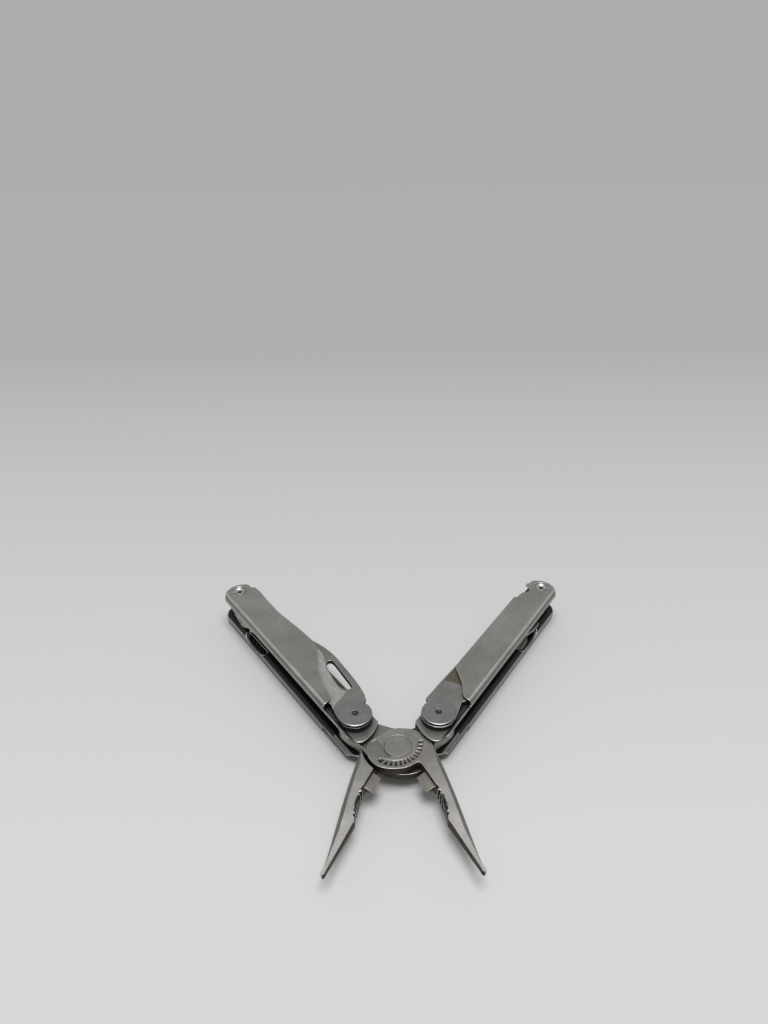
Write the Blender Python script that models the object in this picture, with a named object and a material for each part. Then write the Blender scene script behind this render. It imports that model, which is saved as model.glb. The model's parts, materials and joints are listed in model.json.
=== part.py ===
"""Pocket multi tool lying open: needle-nose pliers hinged between two folding handles.

Each handle is one folded sheet. It holds two outer blades on the pliers' pivot and a stack of
small tools on a pivot at its far end. The two handles, and the two halves of the pliers, are the
same piece turned over. All outlines are in millimetres, in the plane of the tool.
"""
import math

import bmesh
import bpy
from mathutils import Vector

MM = 0.001

# ---- driving dimensions, mm ----
HALF_THICK = 7.2        # mid plane to the outer face of a handle
SHEET = 0.9             # handle sheet
CHANNEL_HALF = 3.1      # mid plane to an inner wall
HANDLE_PITCH = 88.0     # near pivot to far pivot
FOLD_NEAR = 7.75        # pivot line to the folded edge, near end
FOLD_FAR = 6.9          # the same at the far end
WEB_OUT = 6.2           # pivot line to the outside of the web
FAR_ARC_R = 7.3         # rounded far end of a handle
FAR_ARC_U = 84.9        # its centre along the handle
HANDLE_WIDE = 9.0       # pivot line to the free edge of a panel before it is trimmed
SHEET_FROM = -10.0      # ends of the folded sheet along the handle before it is trimmed
SHEET_TO = 93.0
GAP = 0.25              # clearance between neighbouring pieces
PAST = 9.0              # how far a cutter reaches above and below the mid plane
AROUND = 14.0           # how far a cutter reaches past a handle in plan

TANG_REACH = 18.6       # rivet to near pivot
TANG_ANGLE = 25.9       # tang from the centre line, jaws shut, degrees
JAW_HALF = 2.75         # half thickness of the jaws and the boss
TIP_HALF = 1.15         # half thickness at the tip of the jaws
TAPER_FROM = 12.0       # rivet to where the jaws start to get thinner
TANG_HALF = 2.2         # half thickness of a tang
LAP_R = 12.6            # circle inside which each half is cut back to its own side
RIVET_R = 4.65          # heads of the pliers' rivet
NECK_R = 2.6            # its neck
HEAD_FROM = 1.75        # mid plane to the underside of a head
JAW_TIP = 52.3          # rivet to the tip

BLADE_LOW = 4.25        # inner and outer faces of an outer blade
BLADE_HIGH = 6.05
EDGE = 0.12             # small chamfer left on a blade and on the pliers
PIVOT_R = 2.6           # barrel on the near pivot
PIVOT_BORE_R = 1.75     # the bore of that barrel
PIVOT_SHANK_R = 1.5     # the screw inside it
CAP_R = 6.1             # broad heads on the near pivot
CAP_SINK = 0.05         # cap below the handle's outer face
FAR_BARREL_R = 2.1      # the same pieces on the far pivot
FAR_BORE_R = 1.45
FAR_SHANK_R = 1.2
FAR_HEAD_R = 2.6
FAR_SINK = 0.1
FAR_HEAD_FROM = 5.9     # mid plane to the underside of a far head

# ---- pose: jaws open and handles spread, degrees ----
JAW_OPEN = 26.6         # each jaw from the centre line
HANDLE_OUT = 35.1       # each handle from the centre line
LEVER_SPRUNG = 11.0     # scissors lever held open by its spring

SEGMENTS = 32


def clear_scene():
    for old in list(bpy.data.objects):
        bpy.data.objects.remove(old)


# ---- outlines ----

def arc(cx, cy, r, start, end, steps):
    """Points on a circle from start to end, in degrees."""
    turn = [math.radians(start + (end - start) * i / steps) for i in range(steps + 1)]
    return [(cx + r * math.cos(t), cy + r * math.sin(t)) for t in turn]


def curve(points, steps=3):
    """A smooth open curve through the points."""
    ends = [points[0]] + list(points) + [points[-1]]
    out = []
    for a, b, c, d in zip(ends, ends[1:], ends[2:], ends[3:]):
        for i in range(steps):
            t = i / steps
            out.append(tuple(0.5 * (2 * q + (r - p) * t + (2 * p - 5 * q + 4 * r - s) * t * t
                                    + (3 * q - p - 3 * r + s) * t ** 3)
                             for p, q, r, s in zip(a, b, c, d)))
    return out + [tuple(points[-1])]


def turned_over(outline):
    return [(x, -y) for x, y in outline]


def signed_area(outline):
    pairs = zip(outline, outline[1:] + outline[:1])
    return 0.5 * sum(a[0] * b[1] - b[0] * a[1] for a, b in pairs)


def inset(outline, amounts):
    """The outline moved inward, by one amount for each point."""
    side = 1 if signed_area(outline) > 0 else -1
    count = len(outline)
    out = []
    for i, (here, amount) in enumerate(zip(outline, amounts)):
        before = Vector(here) - Vector(outline[i - 1])
        after = Vector(outline[(i + 1) % count]) - Vector(here)
        n1 = Vector((-before.y, before.x)).normalized() * side
        n2 = Vector((-after.y, after.x)).normalized() * side
        mitre = (n1 + n2) / max(0.6, 1 + n1.dot(n2))
        out.append((here[0] + mitre.x * amount, here[1] + mitre.y * amount))
    return out


# ---- solids ----

def steel(name, colour, roughness):
    mat = bpy.data.materials.new(name)
    mat.use_nodes = True
    shader = mat.node_tree.nodes["Principled BSDF"]
    shader.inputs["Base Color"].default_value = (*colour, 1)
    shader.inputs["Roughness"].default_value = roughness
    shader.inputs["Metallic"].default_value = 1.0
    mat.diffuse_color = (*colour, 1)
    return mat


def place(name, mesh, parent, at=(0, 0, 0), turn=0.0, over=False):
    """Puts a mesh in the scene under its parent, turned about Z, and turned over if asked."""
    ob = bpy.data.objects.new(name, mesh)
    bpy.context.scene.collection.objects.link(ob)
    ob.parent = parent
    ob.location = Vector(at) * MM
    ob.rotation_euler = (math.pi if over else 0, 0, math.radians(turn))
    return ob


def axis(name, parent, at, turn=0.0):
    """An empty on a joint's axis."""
    return place(name, None, parent, at, turn)


def skin(name, loops, mat=None):
    """A closed mesh through equal loops of 3D points, with its two ends filled."""
    bm = bmesh.new()
    rings = [[bm.verts.new(Vector(p) * MM) for p in loop] for loop in loops]
    for low, high in zip(rings, rings[1:]):
        for i in range(len(low)):
            j = (i + 1) % len(low)
            bm.faces.new((low[i], low[j], high[j], high[i]))
    bm.faces.new(rings[0])
    bm.faces.new(rings[-1])
    bmesh.ops.recalc_face_normals(bm, faces=bm.faces)
    mesh = bpy.data.meshes.new(name)
    bm.to_mesh(mesh)
    bm.free()
    if mat:
        mesh.materials.append(mat)
    mesh.shade_smooth()
    mesh.set_sharp_from_angle(angle=math.radians(30))
    return mesh


def plate(name, outline, z0, z1, mat=None, edge=0.0):
    """A flat plate; edge is the width of a small chamfer all round, or one width per point."""
    widths = edge if isinstance(edge, list) else [edge] * len(outline)
    if not any(widths):
        return skin(name, [[(x, y, z) for x, y in outline] for z in (z0, z1)], mat)
    small = inset(outline, widths)
    drop = min(0.35 * (z1 - z0), max(widths))
    rings = [(small, z0), (outline, z0 + drop), (outline, z1 - drop), (small, z1)]
    return skin(name, [[(x, y, z) for x, y in ring] for ring, z in rings], mat)


def blade_plate(name, outline, grind, mat):
    """An outer blade. grind is the width of the ground bevel at each point of the outline."""
    middle = (BLADE_LOW + BLADE_HIGH) / 2
    flat = inset(outline, grind)
    rings = [(flat, BLADE_LOW), (outline, middle - 0.15), (outline, middle + 0.15),
             (flat, BLADE_HIGH)]
    return skin(name, [[(x, y, z) for x, y in ring] for ring, z in rings], mat)


def spun(name, profile, mat=None, segments=SEGMENTS):
    """A turned piece about Z from (radius, height) points; both ends are filled."""
    around = [2 * math.pi * i / segments for i in range(segments)]
    loops = [[(r * math.cos(t), r * math.sin(t), z) for t in around] for r, z in profile]
    return skin(name, loops, mat)


def modify(ob, tool, operation):
    """Cuts ob with tool, or joins tool to it, and hides the tool."""
    mod = ob.modifiers.new(tool.name, "BOOLEAN")
    mod.operation = operation
    mod.solver = "EXACT"
    mod.object = tool
    tool.display_type = "WIRE"
    tool.hide_render = True


def cut(ob, mesh, at=(0, 0, 0)):
    modify(ob, place("cut_" + ob.name + "_" + mesh.name, mesh, ob, at), "DIFFERENCE")


def join(ob, mesh):
    modify(ob, place("add_" + ob.name + "_" + mesh.name, mesh, ob), "UNION")


def drill(ob, radius, x=0.0, y=0.0, z0=-PAST, z1=PAST):
    cut(ob, spun("hole", [(radius, z0), (radius, z1)], segments=24), (x, y, 0))


# ---- folded handle ----

def handle_section(u, fold, panel):
    """Cross-section of the folded sheet: web, two walls, two rounded folds, two outer panels."""
    wall_out = CHANNEL_HALF + SHEET
    panel_in = HALF_THICK - SHEET
    bend_z = (CHANNEL_HALF + HALF_THICK) / 2
    big = (HALF_THICK - CHANNEL_HALF) / 2
    small = big - SHEET
    centre = fold - big
    upper = [(-WEB_OUT, wall_out)]
    upper += arc(centre, bend_z, small, -90, 90, 6)
    upper += [(-panel, panel_in), (-panel, HALF_THICK)]
    upper += arc(centre, bend_z, big, 90, -90, 8)
    upper += [(-WEB_OUT + SHEET, CHANNEL_HALF)]
    lower = [(v, -z) for v, z in reversed(upper)]
    return [(u, v, z) for v, z in upper + lower]


def panel_edge_by_knife():
    """Edge of the outer panel beside the blade with the thumb hole, from the fold to the far end."""
    s_curve = curve([(10.0, 6.6), (10.3, 4.6), (11.9, 3.0), (14.8, 1.7), (20.1, 0.9), (25.5, -0.9),
                     (30.6, -3.4), (35.7, -6.3), (38.2, -7.7), (41.5, -8.3), (51, -7.8),
                     (59.8, -6.9), (66.8, -6.4), (75.4, -6.6), (83, -7.0)])
    return s_curve + [(86.2, -6.5), (87.3, -5.3), (90.5, -5.2)]


def panel_edge_by_file():
    """Edge of the other outer panel: straight, with a scallop that shows the blade's end."""
    s_curve = curve([(11.0, 7.0), (11.2, 4.6), (12.8, 2.7), (16.6, 0.3), (19.2, -2.1),
                     (22.2, -5.1), (24.2, -6.2), (27, -6.6)])
    scallop = curve([(75, -6.7), (75.7, -5.7), (78, -5.4), (79.8, -4.3), (82.2, -3.3),
                     (84.4, -3.9), (85.4, -6.1)], 2)
    return s_curve + scallop + [(86.6, -6.2), (88.2, -5.2), (90.5, -5.2)]


def outside_panel(edge, z0, z1):
    """Everything beyond the panel's edge, as a cutter."""
    near, far = -AROUND, HANDLE_PITCH + AROUND
    outline = [(edge[0][0], AROUND)] + edge + [(far, edge[-1][1]), (far, -AROUND),
                                               (near, -AROUND), (near, AROUND)]
    return plate("panel_trim", outline, z0, z1)


def far_end_trim():
    """Everything beyond the rounded far end."""
    end = arc(FAR_ARC_U, 0.3, FAR_ARC_R, 76, -64, 16)
    far = HANDLE_PITCH + AROUND
    return plate("far_trim", end + [(end[-1][0], -AROUND), (far, -AROUND), (far, AROUND),
                                    (end[0][0], AROUND)], -PAST, PAST)


def near_end_trim():
    """Everything beyond the rounded near end of the two inner walls."""
    end = curve([(-4.2, -6.6), (-5.6, -6.0), (-7.2, -4.2), (-8.8, -1.6), (-9.7, 1.1), (-10.0, 3.4),
                 (-9.5, 4.8), (-8.6, 5.7), (-7.4, 6.5), (-6.1, 7.2), (-4.8, 7.9)], 2)
    return plate("near_trim", end + [(end[-1][0], AROUND), (-AROUND, AROUND),
                                     (-AROUND, -AROUND), (end[0][0], -AROUND)], -PAST, PAST)


def nail_scallop(side):
    """Hollow in one folded edge that lets a nail reach the small tools; side is +1 up, -1 down."""
    middle, half_long, depth, inner, outer = 64.5, 8.0, 1.7, 4.4, 10.0
    turn = [math.pi * i / 8 for i in range(9)]
    hollow = [(middle - half_long * math.cos(t), CHANNEL_HALF + depth * math.sin(t)) for t in turn]
    hollow += [(middle + half_long, CHANNEL_HALF - 0.5), (middle - half_long, CHANNEL_HALF - 0.5)]
    return skin("nail_scallop", [[(u, v, side * z) for u, z in hollow] for v in (inner, outer)])


def box(name, low, high):
    (x0, y0, z0), (x1, y1, z1) = low, high
    return plate(name, [(x0, y0), (x1, y0), (x1, y1), (x0, y1)], z0, z1)


def handle_frame(name, pivot, over, mat):
    """One folded handle in the frame of its near pivot, u along +X, open side of the channel +Y."""
    sections = [handle_section(SHEET_FROM, FOLD_NEAR, HANDLE_WIDE),
                handle_section(SHEET_TO, FOLD_FAR, HANDLE_WIDE)]
    ob = place(name, skin(name, sections, mat), pivot, over=over)
    in_fold = CHANNEL_HALF + SHEET + 0.7
    cut(ob, outside_panel(panel_edge_by_knife(), in_fold, PAST))
    cut(ob, outside_panel(panel_edge_by_file(), -PAST, -in_fold))
    cut(ob, far_end_trim())
    cut(ob, near_end_trim())
    cut(ob, nail_scallop(1 if over else -1))
    mouth, mouth_end, web_in = CHANNEL_HALF - 0.1, 8.0, 3.0 - WEB_OUT
    cut(ob, box("web_mouth", (-AROUND, -PAST, -mouth), (mouth_end, web_in, mouth)))
    slot_from, slot_to, slot_half, web_inside = 34.0, 82.0, 0.3, SHEET + 0.5 - WEB_OUT
    for z in (-1.0, 1.0):
        cut(ob, box("spring_slot", (slot_from, -PAST, z - slot_half),
                    (slot_to, web_inside, z + slot_half)))
    between = 5.0
    drill(ob, PIVOT_R + GAP)
    drill(ob, FAR_BARREL_R + GAP, HANDLE_PITCH, 0, -between, between)
    drill(ob, FAR_HEAD_R + GAP, HANDLE_PITCH, 0, between, PAST)
    drill(ob, FAR_HEAD_R + GAP, HANDLE_PITCH, 0, -PAST, -between)
    return ob


# ---- outer blades, closed, in the frame of the near pivot ----

TANG_R = 6.25           # round tang of an outer blade


def blade_tang():
    """The round tang and the small notch behind the edge, from the spine's corner to the edge."""
    notch = curve([(1.6, 6.0), (5.0, 5.3), (8.3, 4.5), (9.8, 4.2), (10.9, 4.9), (12.2, 5.6)], 2)
    return [(4.2, -7.7)] + arc(0, 0, TANG_R, 297, 104, 14) + notch


def knife_back():
    """Spine of a blade with a thumb hole, from the tip back to the corner."""
    return curve([(80.5, -1.6), (72, -3.2), (62, -4.8), (53, -6.6), (46, -8.3), (40.5, -9.7),
                  (36.2, -10.7), (30.6, -11.2), (24.1, -10.9), (12.8, -9.9), (6.2, -8.6)], 2)


def thumb_hole():
    loop = [(28.7, -6.5), (29.1, -7.9), (27.5, -8.8), (20, -8.1), (13.2, -7.3), (12.0, -6.2),
            (12.4, -4.8), (14.4, -3.5), (18.4, -3.7), (23.2, -4.6), (26.9, -5.5)]
    return plate("thumb_hole", curve(loop + loop[:1], 2)[:-1], -PAST, PAST)


def knife_shape(edge, widest):
    """Outline of a knife, and the width of its ground bevel at each point, fading to the tip."""
    tang, back = blade_tang(), knife_back()
    tip = back[0][0]
    bevel = [min(widest, 0.13 * (tip - x)) for x, _ in edge]
    return tang + edge + back, [EDGE] * len(tang) + bevel + [EDGE] * len(back)


def plain_shape(outline):
    return outline, [EDGE] * len(outline)


def outer_blade(name, pivot, shape, mat, over, below):
    """A blade in the upper or lower slot of a handle that lies one way up or turned over."""
    outline, bevel = shape
    outline = turned_over(outline) if over != below else outline
    ob = place(name, blade_plate(name, outline, bevel, mat), pivot, over=below)
    drill(ob, PIVOT_R + GAP)
    return ob


def plain_edge():
    return curve([(20, 5.8), (40, 5.6), (55, 5.2), (66, 4.0), (75, 1.4)], 2)


def serrated_edge():
    """Scallops between points, then a short plain belly to the tip."""
    pitch, count = 4.0, 11
    scallops = []
    for i in range(count):
        start = 16 + i * pitch
        scallops += [(start + pitch * t, 5.6 - 0.8 * math.sin(math.pi * t)) for t in
                     (0.0, 0.25, 0.5, 0.75)]
    return scallops + [(60, 5.2), (67, 3.8), (75, 1.4)]


def straight_back():
    """Square end and straight spine of the file and of the saw."""
    return [(81.0, 4.8), (82.0, 3.9), (82.0, -4.6), (81.0, -5.8), (40, -6.5), (26, -7.1),
            (15, -7.5)]


def saw_teeth():
    pitch, count = 2.6, 24
    return [(15 + (i + share) * pitch, 5.5 - 0.01 * i * pitch - depth) for i in range(count)
            for share, depth in ((0.0, 1.3), (0.5, 0.0))] + [(78.5, 4.6)]


# ---- tools on the far pivot, closed, in the frame of that pivot, tip at -X ----

FAR_TANG_R = 4.2
LAYER_TOP = (1.2, 2.8)
LAYER_MID = (-0.8, 0.8)
LAYER_LOW = (-2.8, -1.2)
DRIVER_LAYER = (1.35, 2.8)      # thinner layers of the other stack
THIN_LAYER = (-0.1, 1.1)
SCISSOR_LAYER = (-1.5, -0.4)
LEVER_LAYER = (-2.8, -1.8)
SPRING_LAYER = (-2.7, -1.9)


def far_tang(top, bottom):
    """Round end of a small tool round its pivot."""
    return [bottom] + arc(0, 0, FAR_TANG_R, -90, 90, 12) + [top]


def can_opener_outline():
    back = [(-7, 5.5), (-17.0, 5.7), (-21, 5.1), (-24.6, 3.2), (-25.4, 1.2), (-22.6, 1.6),
            (-21.2, 0.6), (-21.0, -0.8), (-22.6, -1.2), (-25.2, -1.6), (-25.6, -3.0),
            (-24.2, -4.4), (-12, -4.6)]
    return far_tang((-2, 4.6), (-3, -4.5)) + back


def large_driver_outline():
    back = [(-7, 5.3), (-14.5, 5.5), (-15.6, 4.7), (-16.5, 4.4), (-17.4, 4.7), (-18.2, 5.2),
            (-21.5, 3.2), (-24, 0.9), (-40, 0.5), (-43.5, 0.4), (-43.5, -4.4), (-24, -4.5)]
    return far_tang((-2, 4.6), (-3, -4.5)) + back


def phillips_outline():
    back = [(-7, 5.2), (-12, 5.2), (-17, 2.0), (-21, -0.6), (-37, -0.7), (-40.0, -1.8),
            (-41.2, -2.6), (-40.0, -3.4), (-37, -4.5), (-20, -4.5)]
    return far_tang((-2, 4.6), (-3, -4.5)) + back


def driver_outline(width, reach, shoulder):
    """A flat screwdriver whose tip is as wide as given."""
    low = -4.5
    back = [(-6, 5.0), (-shoulder, 4.8), (-shoulder - 4, low + width),
            (-reach, low + width - 0.2), (-reach, low + 0.1), (-shoulder, low)]
    return far_tang((-2, 4.6), (-3, low)) + back


SCISSOR_RIVET = (-27.0, 0.3)
SCISSOR_RIVET_R = 1.5
LEAF_HALF = 0.3         # half thickness of the scissors' spring


def scissor_fixed_outline():
    """Tang, arm along the web, and the fixed blade on the open side of the channel."""
    blade = curve([(-29.6, 2.4), (-33, 2.6), (-37, 1.9), (-42.0, 0.6)], 2)
    return (far_tang((-2.6, 4.4), (-3, -4.5)) + [(-6.5, 2.2), (-9.5, -0.6), (-23.5, -0.9),
                                                (-25.6, 2.6)]
            + blade + [(-42.3, 0.2), (-31.0, 0.1), (-29.0, -2.4), (-25.0, -4.3)])


def scissor_lever_outline():
    """The sprung lever, about its rivet: thumb arm towards +X, blade towards -X."""
    arm_out = curve([(2.0, 2.4), (6, 3.3), (11, 3.3), (15.0, 2.5)], 2)
    arm_in = curve([(15.2, 1.3), (11, 1.8), (6.5, 1.3), (3.4, -0.6)], 2)
    blade = curve([(0.8, -2.7), (-5, -2.6), (-9.5, -1.6), (-14.5, -0.2)], 2)
    return arm_out + arm_in + blade + [(-14.9, 0.2), (-3.2, 0.2), (-1.6, 2.0)]


def spring_outline():
    """A bent leaf between the fixed arm and the lever, in the frame of the far pivot."""
    spine = curve([(-21.0, -3.4), (-15.0, -3.3), (-10.8, -2.4), (-9.8, -0.4), (-11.6, 1.5),
                   (-16.0, 2.5)], 3)
    out, back = [], []
    for i, here in enumerate(spine):
        run = Vector(spine[min(i + 1, len(spine) - 1)]) - Vector(spine[max(i - 1, 0)])
        side = Vector((-run.y, run.x)).normalized() * LEAF_HALF
        out.append((here[0] + side.x, here[1] + side.y))
        back.append((here[0] - side.x, here[1] - side.y))
    return out + back[::-1]


def far_tool(name, pivot, outline, layer, mat, over=False, edge=0.15):
    shape = turned_over(outline) if over else outline
    ob = place(name, plate(name, shape, *layer, mat, edge), pivot, (HANDLE_PITCH, 0, 0))
    drill(ob, FAR_BARREL_R + GAP)
    return ob


# ---- fasteners ----

def star(radius, z0, z1):
    """Six-lobed recess."""
    inner = 0.78
    points = [(radius * (1 if i % 2 else inner), math.pi * i / 6) for i in range(12)]
    return plate("star", [(r * math.cos(t), r * math.sin(t)) for r, t in points], z0, z1)


CAP_STAR_R, CAP_STAR_DEEP = 1.35, 0.7


def cap_rim():
    """Chamfered rim of a broad head, from its flat top down to its underside."""
    top = HALF_THICK - CAP_SINK
    return [(CAP_R - 0.5, top), (CAP_R, top - 0.35), (CAP_R, BLADE_HIGH + GAP)]


def pivot_screw(name, pivot, mat):
    """Broad flat head and a thin shank that goes down inside the barrel nut."""
    top = HALF_THICK - CAP_SINK
    profile = cap_rim() + [(PIVOT_SHANK_R, BLADE_HIGH + GAP), (PIVOT_SHANK_R, -5.0)]
    ob = place(name, spun(name, profile, mat), pivot)
    cut(ob, star(CAP_STAR_R, top - CAP_STAR_DEEP, top + 1))
    return ob


def pivot_nut(name, pivot, mat):
    """Matching head below, with the barrel that everything on the pivot turns on."""
    top = HALF_THICK - CAP_SINK
    profile = [(r, -z) for r, z in cap_rim()]
    profile += [(PIVOT_R, -BLADE_HIGH - GAP), (PIVOT_R, BLADE_HIGH), (PIVOT_BORE_R, BLADE_HIGH),
                (PIVOT_BORE_R, -5.3)]
    ob = place(name, spun(name, profile, mat), pivot)
    cut(ob, star(CAP_STAR_R, -top - 1, CAP_STAR_DEEP - top))
    return ob


def far_head():
    """Chamfered rim of a small head, from its flat top down to its underside."""
    top = HALF_THICK - FAR_SINK
    return [(FAR_HEAD_R - 0.25, top), (FAR_HEAD_R, top - 0.25), (FAR_HEAD_R, FAR_HEAD_FROM)]


def far_screw(name, pivot, mat):
    top = HALF_THICK - FAR_SINK
    profile = far_head() + [(FAR_SHANK_R, FAR_HEAD_FROM), (FAR_SHANK_R, -4.8)]
    ob = place(name, spun(name, profile, mat, 24), pivot, (HANDLE_PITCH, 0, 0))
    cut(ob, star(1.2, top - 0.8, top + 1))
    return ob


def far_nut(name, pivot, mat):
    barrel_top = FAR_HEAD_FROM - 0.3
    profile = [(r, -z) for r, z in far_head()]
    profile += [(FAR_BARREL_R, -FAR_HEAD_FROM), (FAR_BARREL_R, barrel_top),
                (FAR_BORE_R, barrel_top), (FAR_BORE_R, -5.1)]
    return place(name, spun(name, profile, mat, 24), pivot, (HANDLE_PITCH, 0, 0))


# ---- pliers, jaws shut, rivet at the origin, this half's jaw on +X and its tang on -X ----

FACE = 0.12             # half the gap between the shut jaws
LAP_GAP = 0.12          # each half stops this far above the mid plane inside the lap


def near_pivot_point():
    angle = math.radians(TANG_ANGLE)
    return -TANG_REACH * math.sin(angle), TANG_REACH * math.cos(angle)


def gripping_teeth():
    """Seven coarse teeth along a hollow, from near the tip towards the rivet."""
    count, first, last = 7, -31.6, -20.4
    pitch = (last - first) / count
    teeth = []
    for i in range(count):
        share = (i + 0.5) / count
        hollow = 1.0 + 2.4 * math.sin(math.pi / 2 * share)
        y = first + pitch * i
        teeth += [(hollow - 0.7, y + 0.15 * pitch), (hollow + 0.4, y + 0.7 * pitch)]
    return teeth


def boss_edge():
    """Edge of the boss, from the crotch of the jaw round the far side to the top of the shoulder."""
    return curve([(3.3, -10.4), (2.6, -9.3), (-0.1, -9.5), (-2.9, -9.2), (-6.1, -7.9), (-8.7, -6.1),
                  (-10.5, -4.0), (-11.3, -1.1), (-11.2, 1.2), (-10.5, 3.0), (-9.3, 5.1),
                  (-7.7, 6.4), (-4.9, 7.2), (-1.5, 7.7), (1.3, 7.8), (3.5, 7.4), (5.7, 6.3)], 2)


def jaw_outline():
    outer = curve([(8.3, 4.5), (10.2, 1.5), (11.1, -1.5), (11.3, -4.2), (10.9, -6.9),
                   (10.1, -11.5), (9.0, -17.4), (7.4, -25.0), (5.4, -33.4), (3.2, -42.4),
                   (1.8, -48.6), (1.5, -50.9)], 2)
    tip = arc(0.82, -JAW_TIP + 0.7, 0.7, 0, -180, 5)
    inner = [(FACE, -33.2), (FACE, -32.4)] + gripping_teeth() + [(3.4, -19.8)]
    return outer + tip + inner + boss_edge()


def tang_outline():
    px, py = near_pivot_point()
    end = arc(px, py, 6.0, 200, -22, 16)
    outer = [(-9.5, -2.0), (-10.9, 1.2), (-11.1, 4.6), (-11.1, 6.6), (-11.8, 9.2), (-13.1, 12.2)]
    return outer + end + [(-1.3, 12.9), (0.2, 11.2), (1.9, 9.2), (3.4, 7.2), (2.0, 3.0),
                          (-4.0, -3.0)]


def wire_cutter():
    """A wedge whose edge lies on the mid plane of the jaw."""
    root, shoulder, high, land = 4.2, 3.0, 1.2, 0.25
    upper = [(root, high), (shoulder, high), (FACE, land)]
    profile = upper + [(x, -z) for x, z in reversed(upper)]
    return skin("wire_cutter", [[(x, y, z) for x, z in profile] for y in (-12.7, -19.3)])


def jaw_chamfers(outline):
    """Broad chamfer on the outer side of the jaw, and a small one elsewhere."""
    broad, start, stop = 0.75, -7.0, -50.0
    widths = []
    for x, y in outline:
        outer_side = x > 0.6 + 0.19 * (y + JAW_TIP - 1.3)
        widths.append(broad if outer_side and stop < y < start else EDGE)
    return widths


def arc_groove():
    """Shallow curved recess along the rim of the boss."""
    outer = curve([(-9.1, -2.0), (-8.6, -4.0), (-6.3, -6.4), (-3.6, -7.7), (0.1, -8.1), (3.3, -7.4),
                   (6.2, -5.7), (8.4, -3.1), (8.8, -1.7)])
    inner = curve([(7.5, -1.2), (6.6, -2.0), (5.3, -3.6), (3.3, -5.1), (0.3, -6.0), (-2.4, -5.6),
                   (-5.4, -4.1), (-7.4, -1.9)])
    depth = 0.3
    return plate("arc_groove", outer + inner, JAW_HALF - depth, JAW_HALF + 1)


def strap_pocket():
    """Shallow pocket that leaves a raised strap across the boss."""
    outline = curve([(-5.5, 6.3), (-4.9, 2.3), (-4.8, -0.6), (-4.2, -3.2)]) + curve(
        [(-6.6, -2.6), (-8.4, -0.6), (-10.3, 0.4), (-10.2, 2.4), (-9.0, 4.8), (-7.6, 6.0)])
    depth = 0.4
    return plate("strap_pocket", outline, JAW_HALF - depth, JAW_HALF + 1)


def taper_jaw(mesh):
    """Thins the jaw evenly from the wire cutter to the tip."""
    bm = bmesh.new()
    bm.from_mesh(mesh)
    start = -TAPER_FROM * MM
    bmesh.ops.bisect_plane(bm, geom=bm.verts[:] + bm.edges[:] + bm.faces[:],
                           plane_co=(0, start, 0), plane_no=(0, 1, 0))
    slope = (JAW_HALF - TIP_HALF) / (JAW_TIP - TAPER_FROM)
    for v in bm.verts:
        v.co.z -= math.copysign(slope * max(0.0, start - v.co.y), v.co.z)
    bm.to_mesh(mesh)
    bm.free()
    return mesh


def plier_half(name, parent, turn, over, mat):
    outline = jaw_outline()
    body = taper_jaw(plate(name, outline, -JAW_HALF, JAW_HALF, mat, jaw_chamfers(outline)))
    ob = place(name, body, parent, turn=turn, over=over)
    join(ob, plate("tang", tang_outline(), -TANG_HALF, TANG_HALF, None, 0.2))
    join(ob, wire_cutter())
    cut(ob, spun("lap", [(LAP_R, -PAST), (LAP_R, LAP_GAP)], segments=48))
    cut(ob, arc_groove())
    cut(ob, strap_pocket())
    drill(ob, NECK_R + GAP)
    cut(ob, spun("rivet_seat", [(RIVET_R + GAP, HEAD_FROM - GAP), (RIVET_R + GAP, PAST)]))
    px, py = near_pivot_point()
    drill(ob, PIVOT_R + GAP, px, py)
    return ob


def plier_rivet(name, parent, mat):
    head, rim = JAW_HALF + 0.1, 0.2
    upper = [(RIVET_R - rim, head), (RIVET_R, head - rim), (RIVET_R, HEAD_FROM),
             (NECK_R, HEAD_FROM)]
    profile = upper + [(r, -z) for r, z in reversed(upper)]
    return place(name, spun(name, profile, mat), parent)


# ---- assembly ----

def pivot_at(side):
    """Near pivot of the tang on this side (-1 left, +1 right)."""
    angle = math.radians(JAW_OPEN + TANG_ANGLE)
    return side * TANG_REACH * math.sin(angle), TANG_REACH * math.cos(angle), 0


def build_handle_parts(side, pivot, mats):
    """Frame and fasteners of one handle. The right handle is the left one turned over."""
    handle_frame(side + "_handle_frame", pivot, side == "right", mats["handle"])
    pivot_screw(side + "_pivot_screw", pivot, mats["cap"])
    pivot_nut(side + "_pivot_nut", pivot, mats["cap"])
    far_screw(side + "_far_screw", pivot, mats["screw"])
    far_nut(side + "_far_nut", pivot, mats["screw"])


def build_left_tools(pivot, mats):
    knife = outer_blade("knife_blade", pivot, knife_shape(plain_edge(), 4.5), mats["blade"],
                        False, False)
    cut(knife, thumb_hole())
    outline = blade_tang() + saw_teeth() + straight_back()
    outer_blade("saw_blade", pivot, plain_shape(outline), mats["blade"], False, True)
    far_tool("can_opener", pivot, can_opener_outline(), LAYER_TOP, mats["tool"])
    far_tool("large_screwdriver", pivot, large_driver_outline(), LAYER_MID, mats["tool"])
    far_tool("phillips_driver", pivot, phillips_outline(), LAYER_LOW, mats["tool"])


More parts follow.
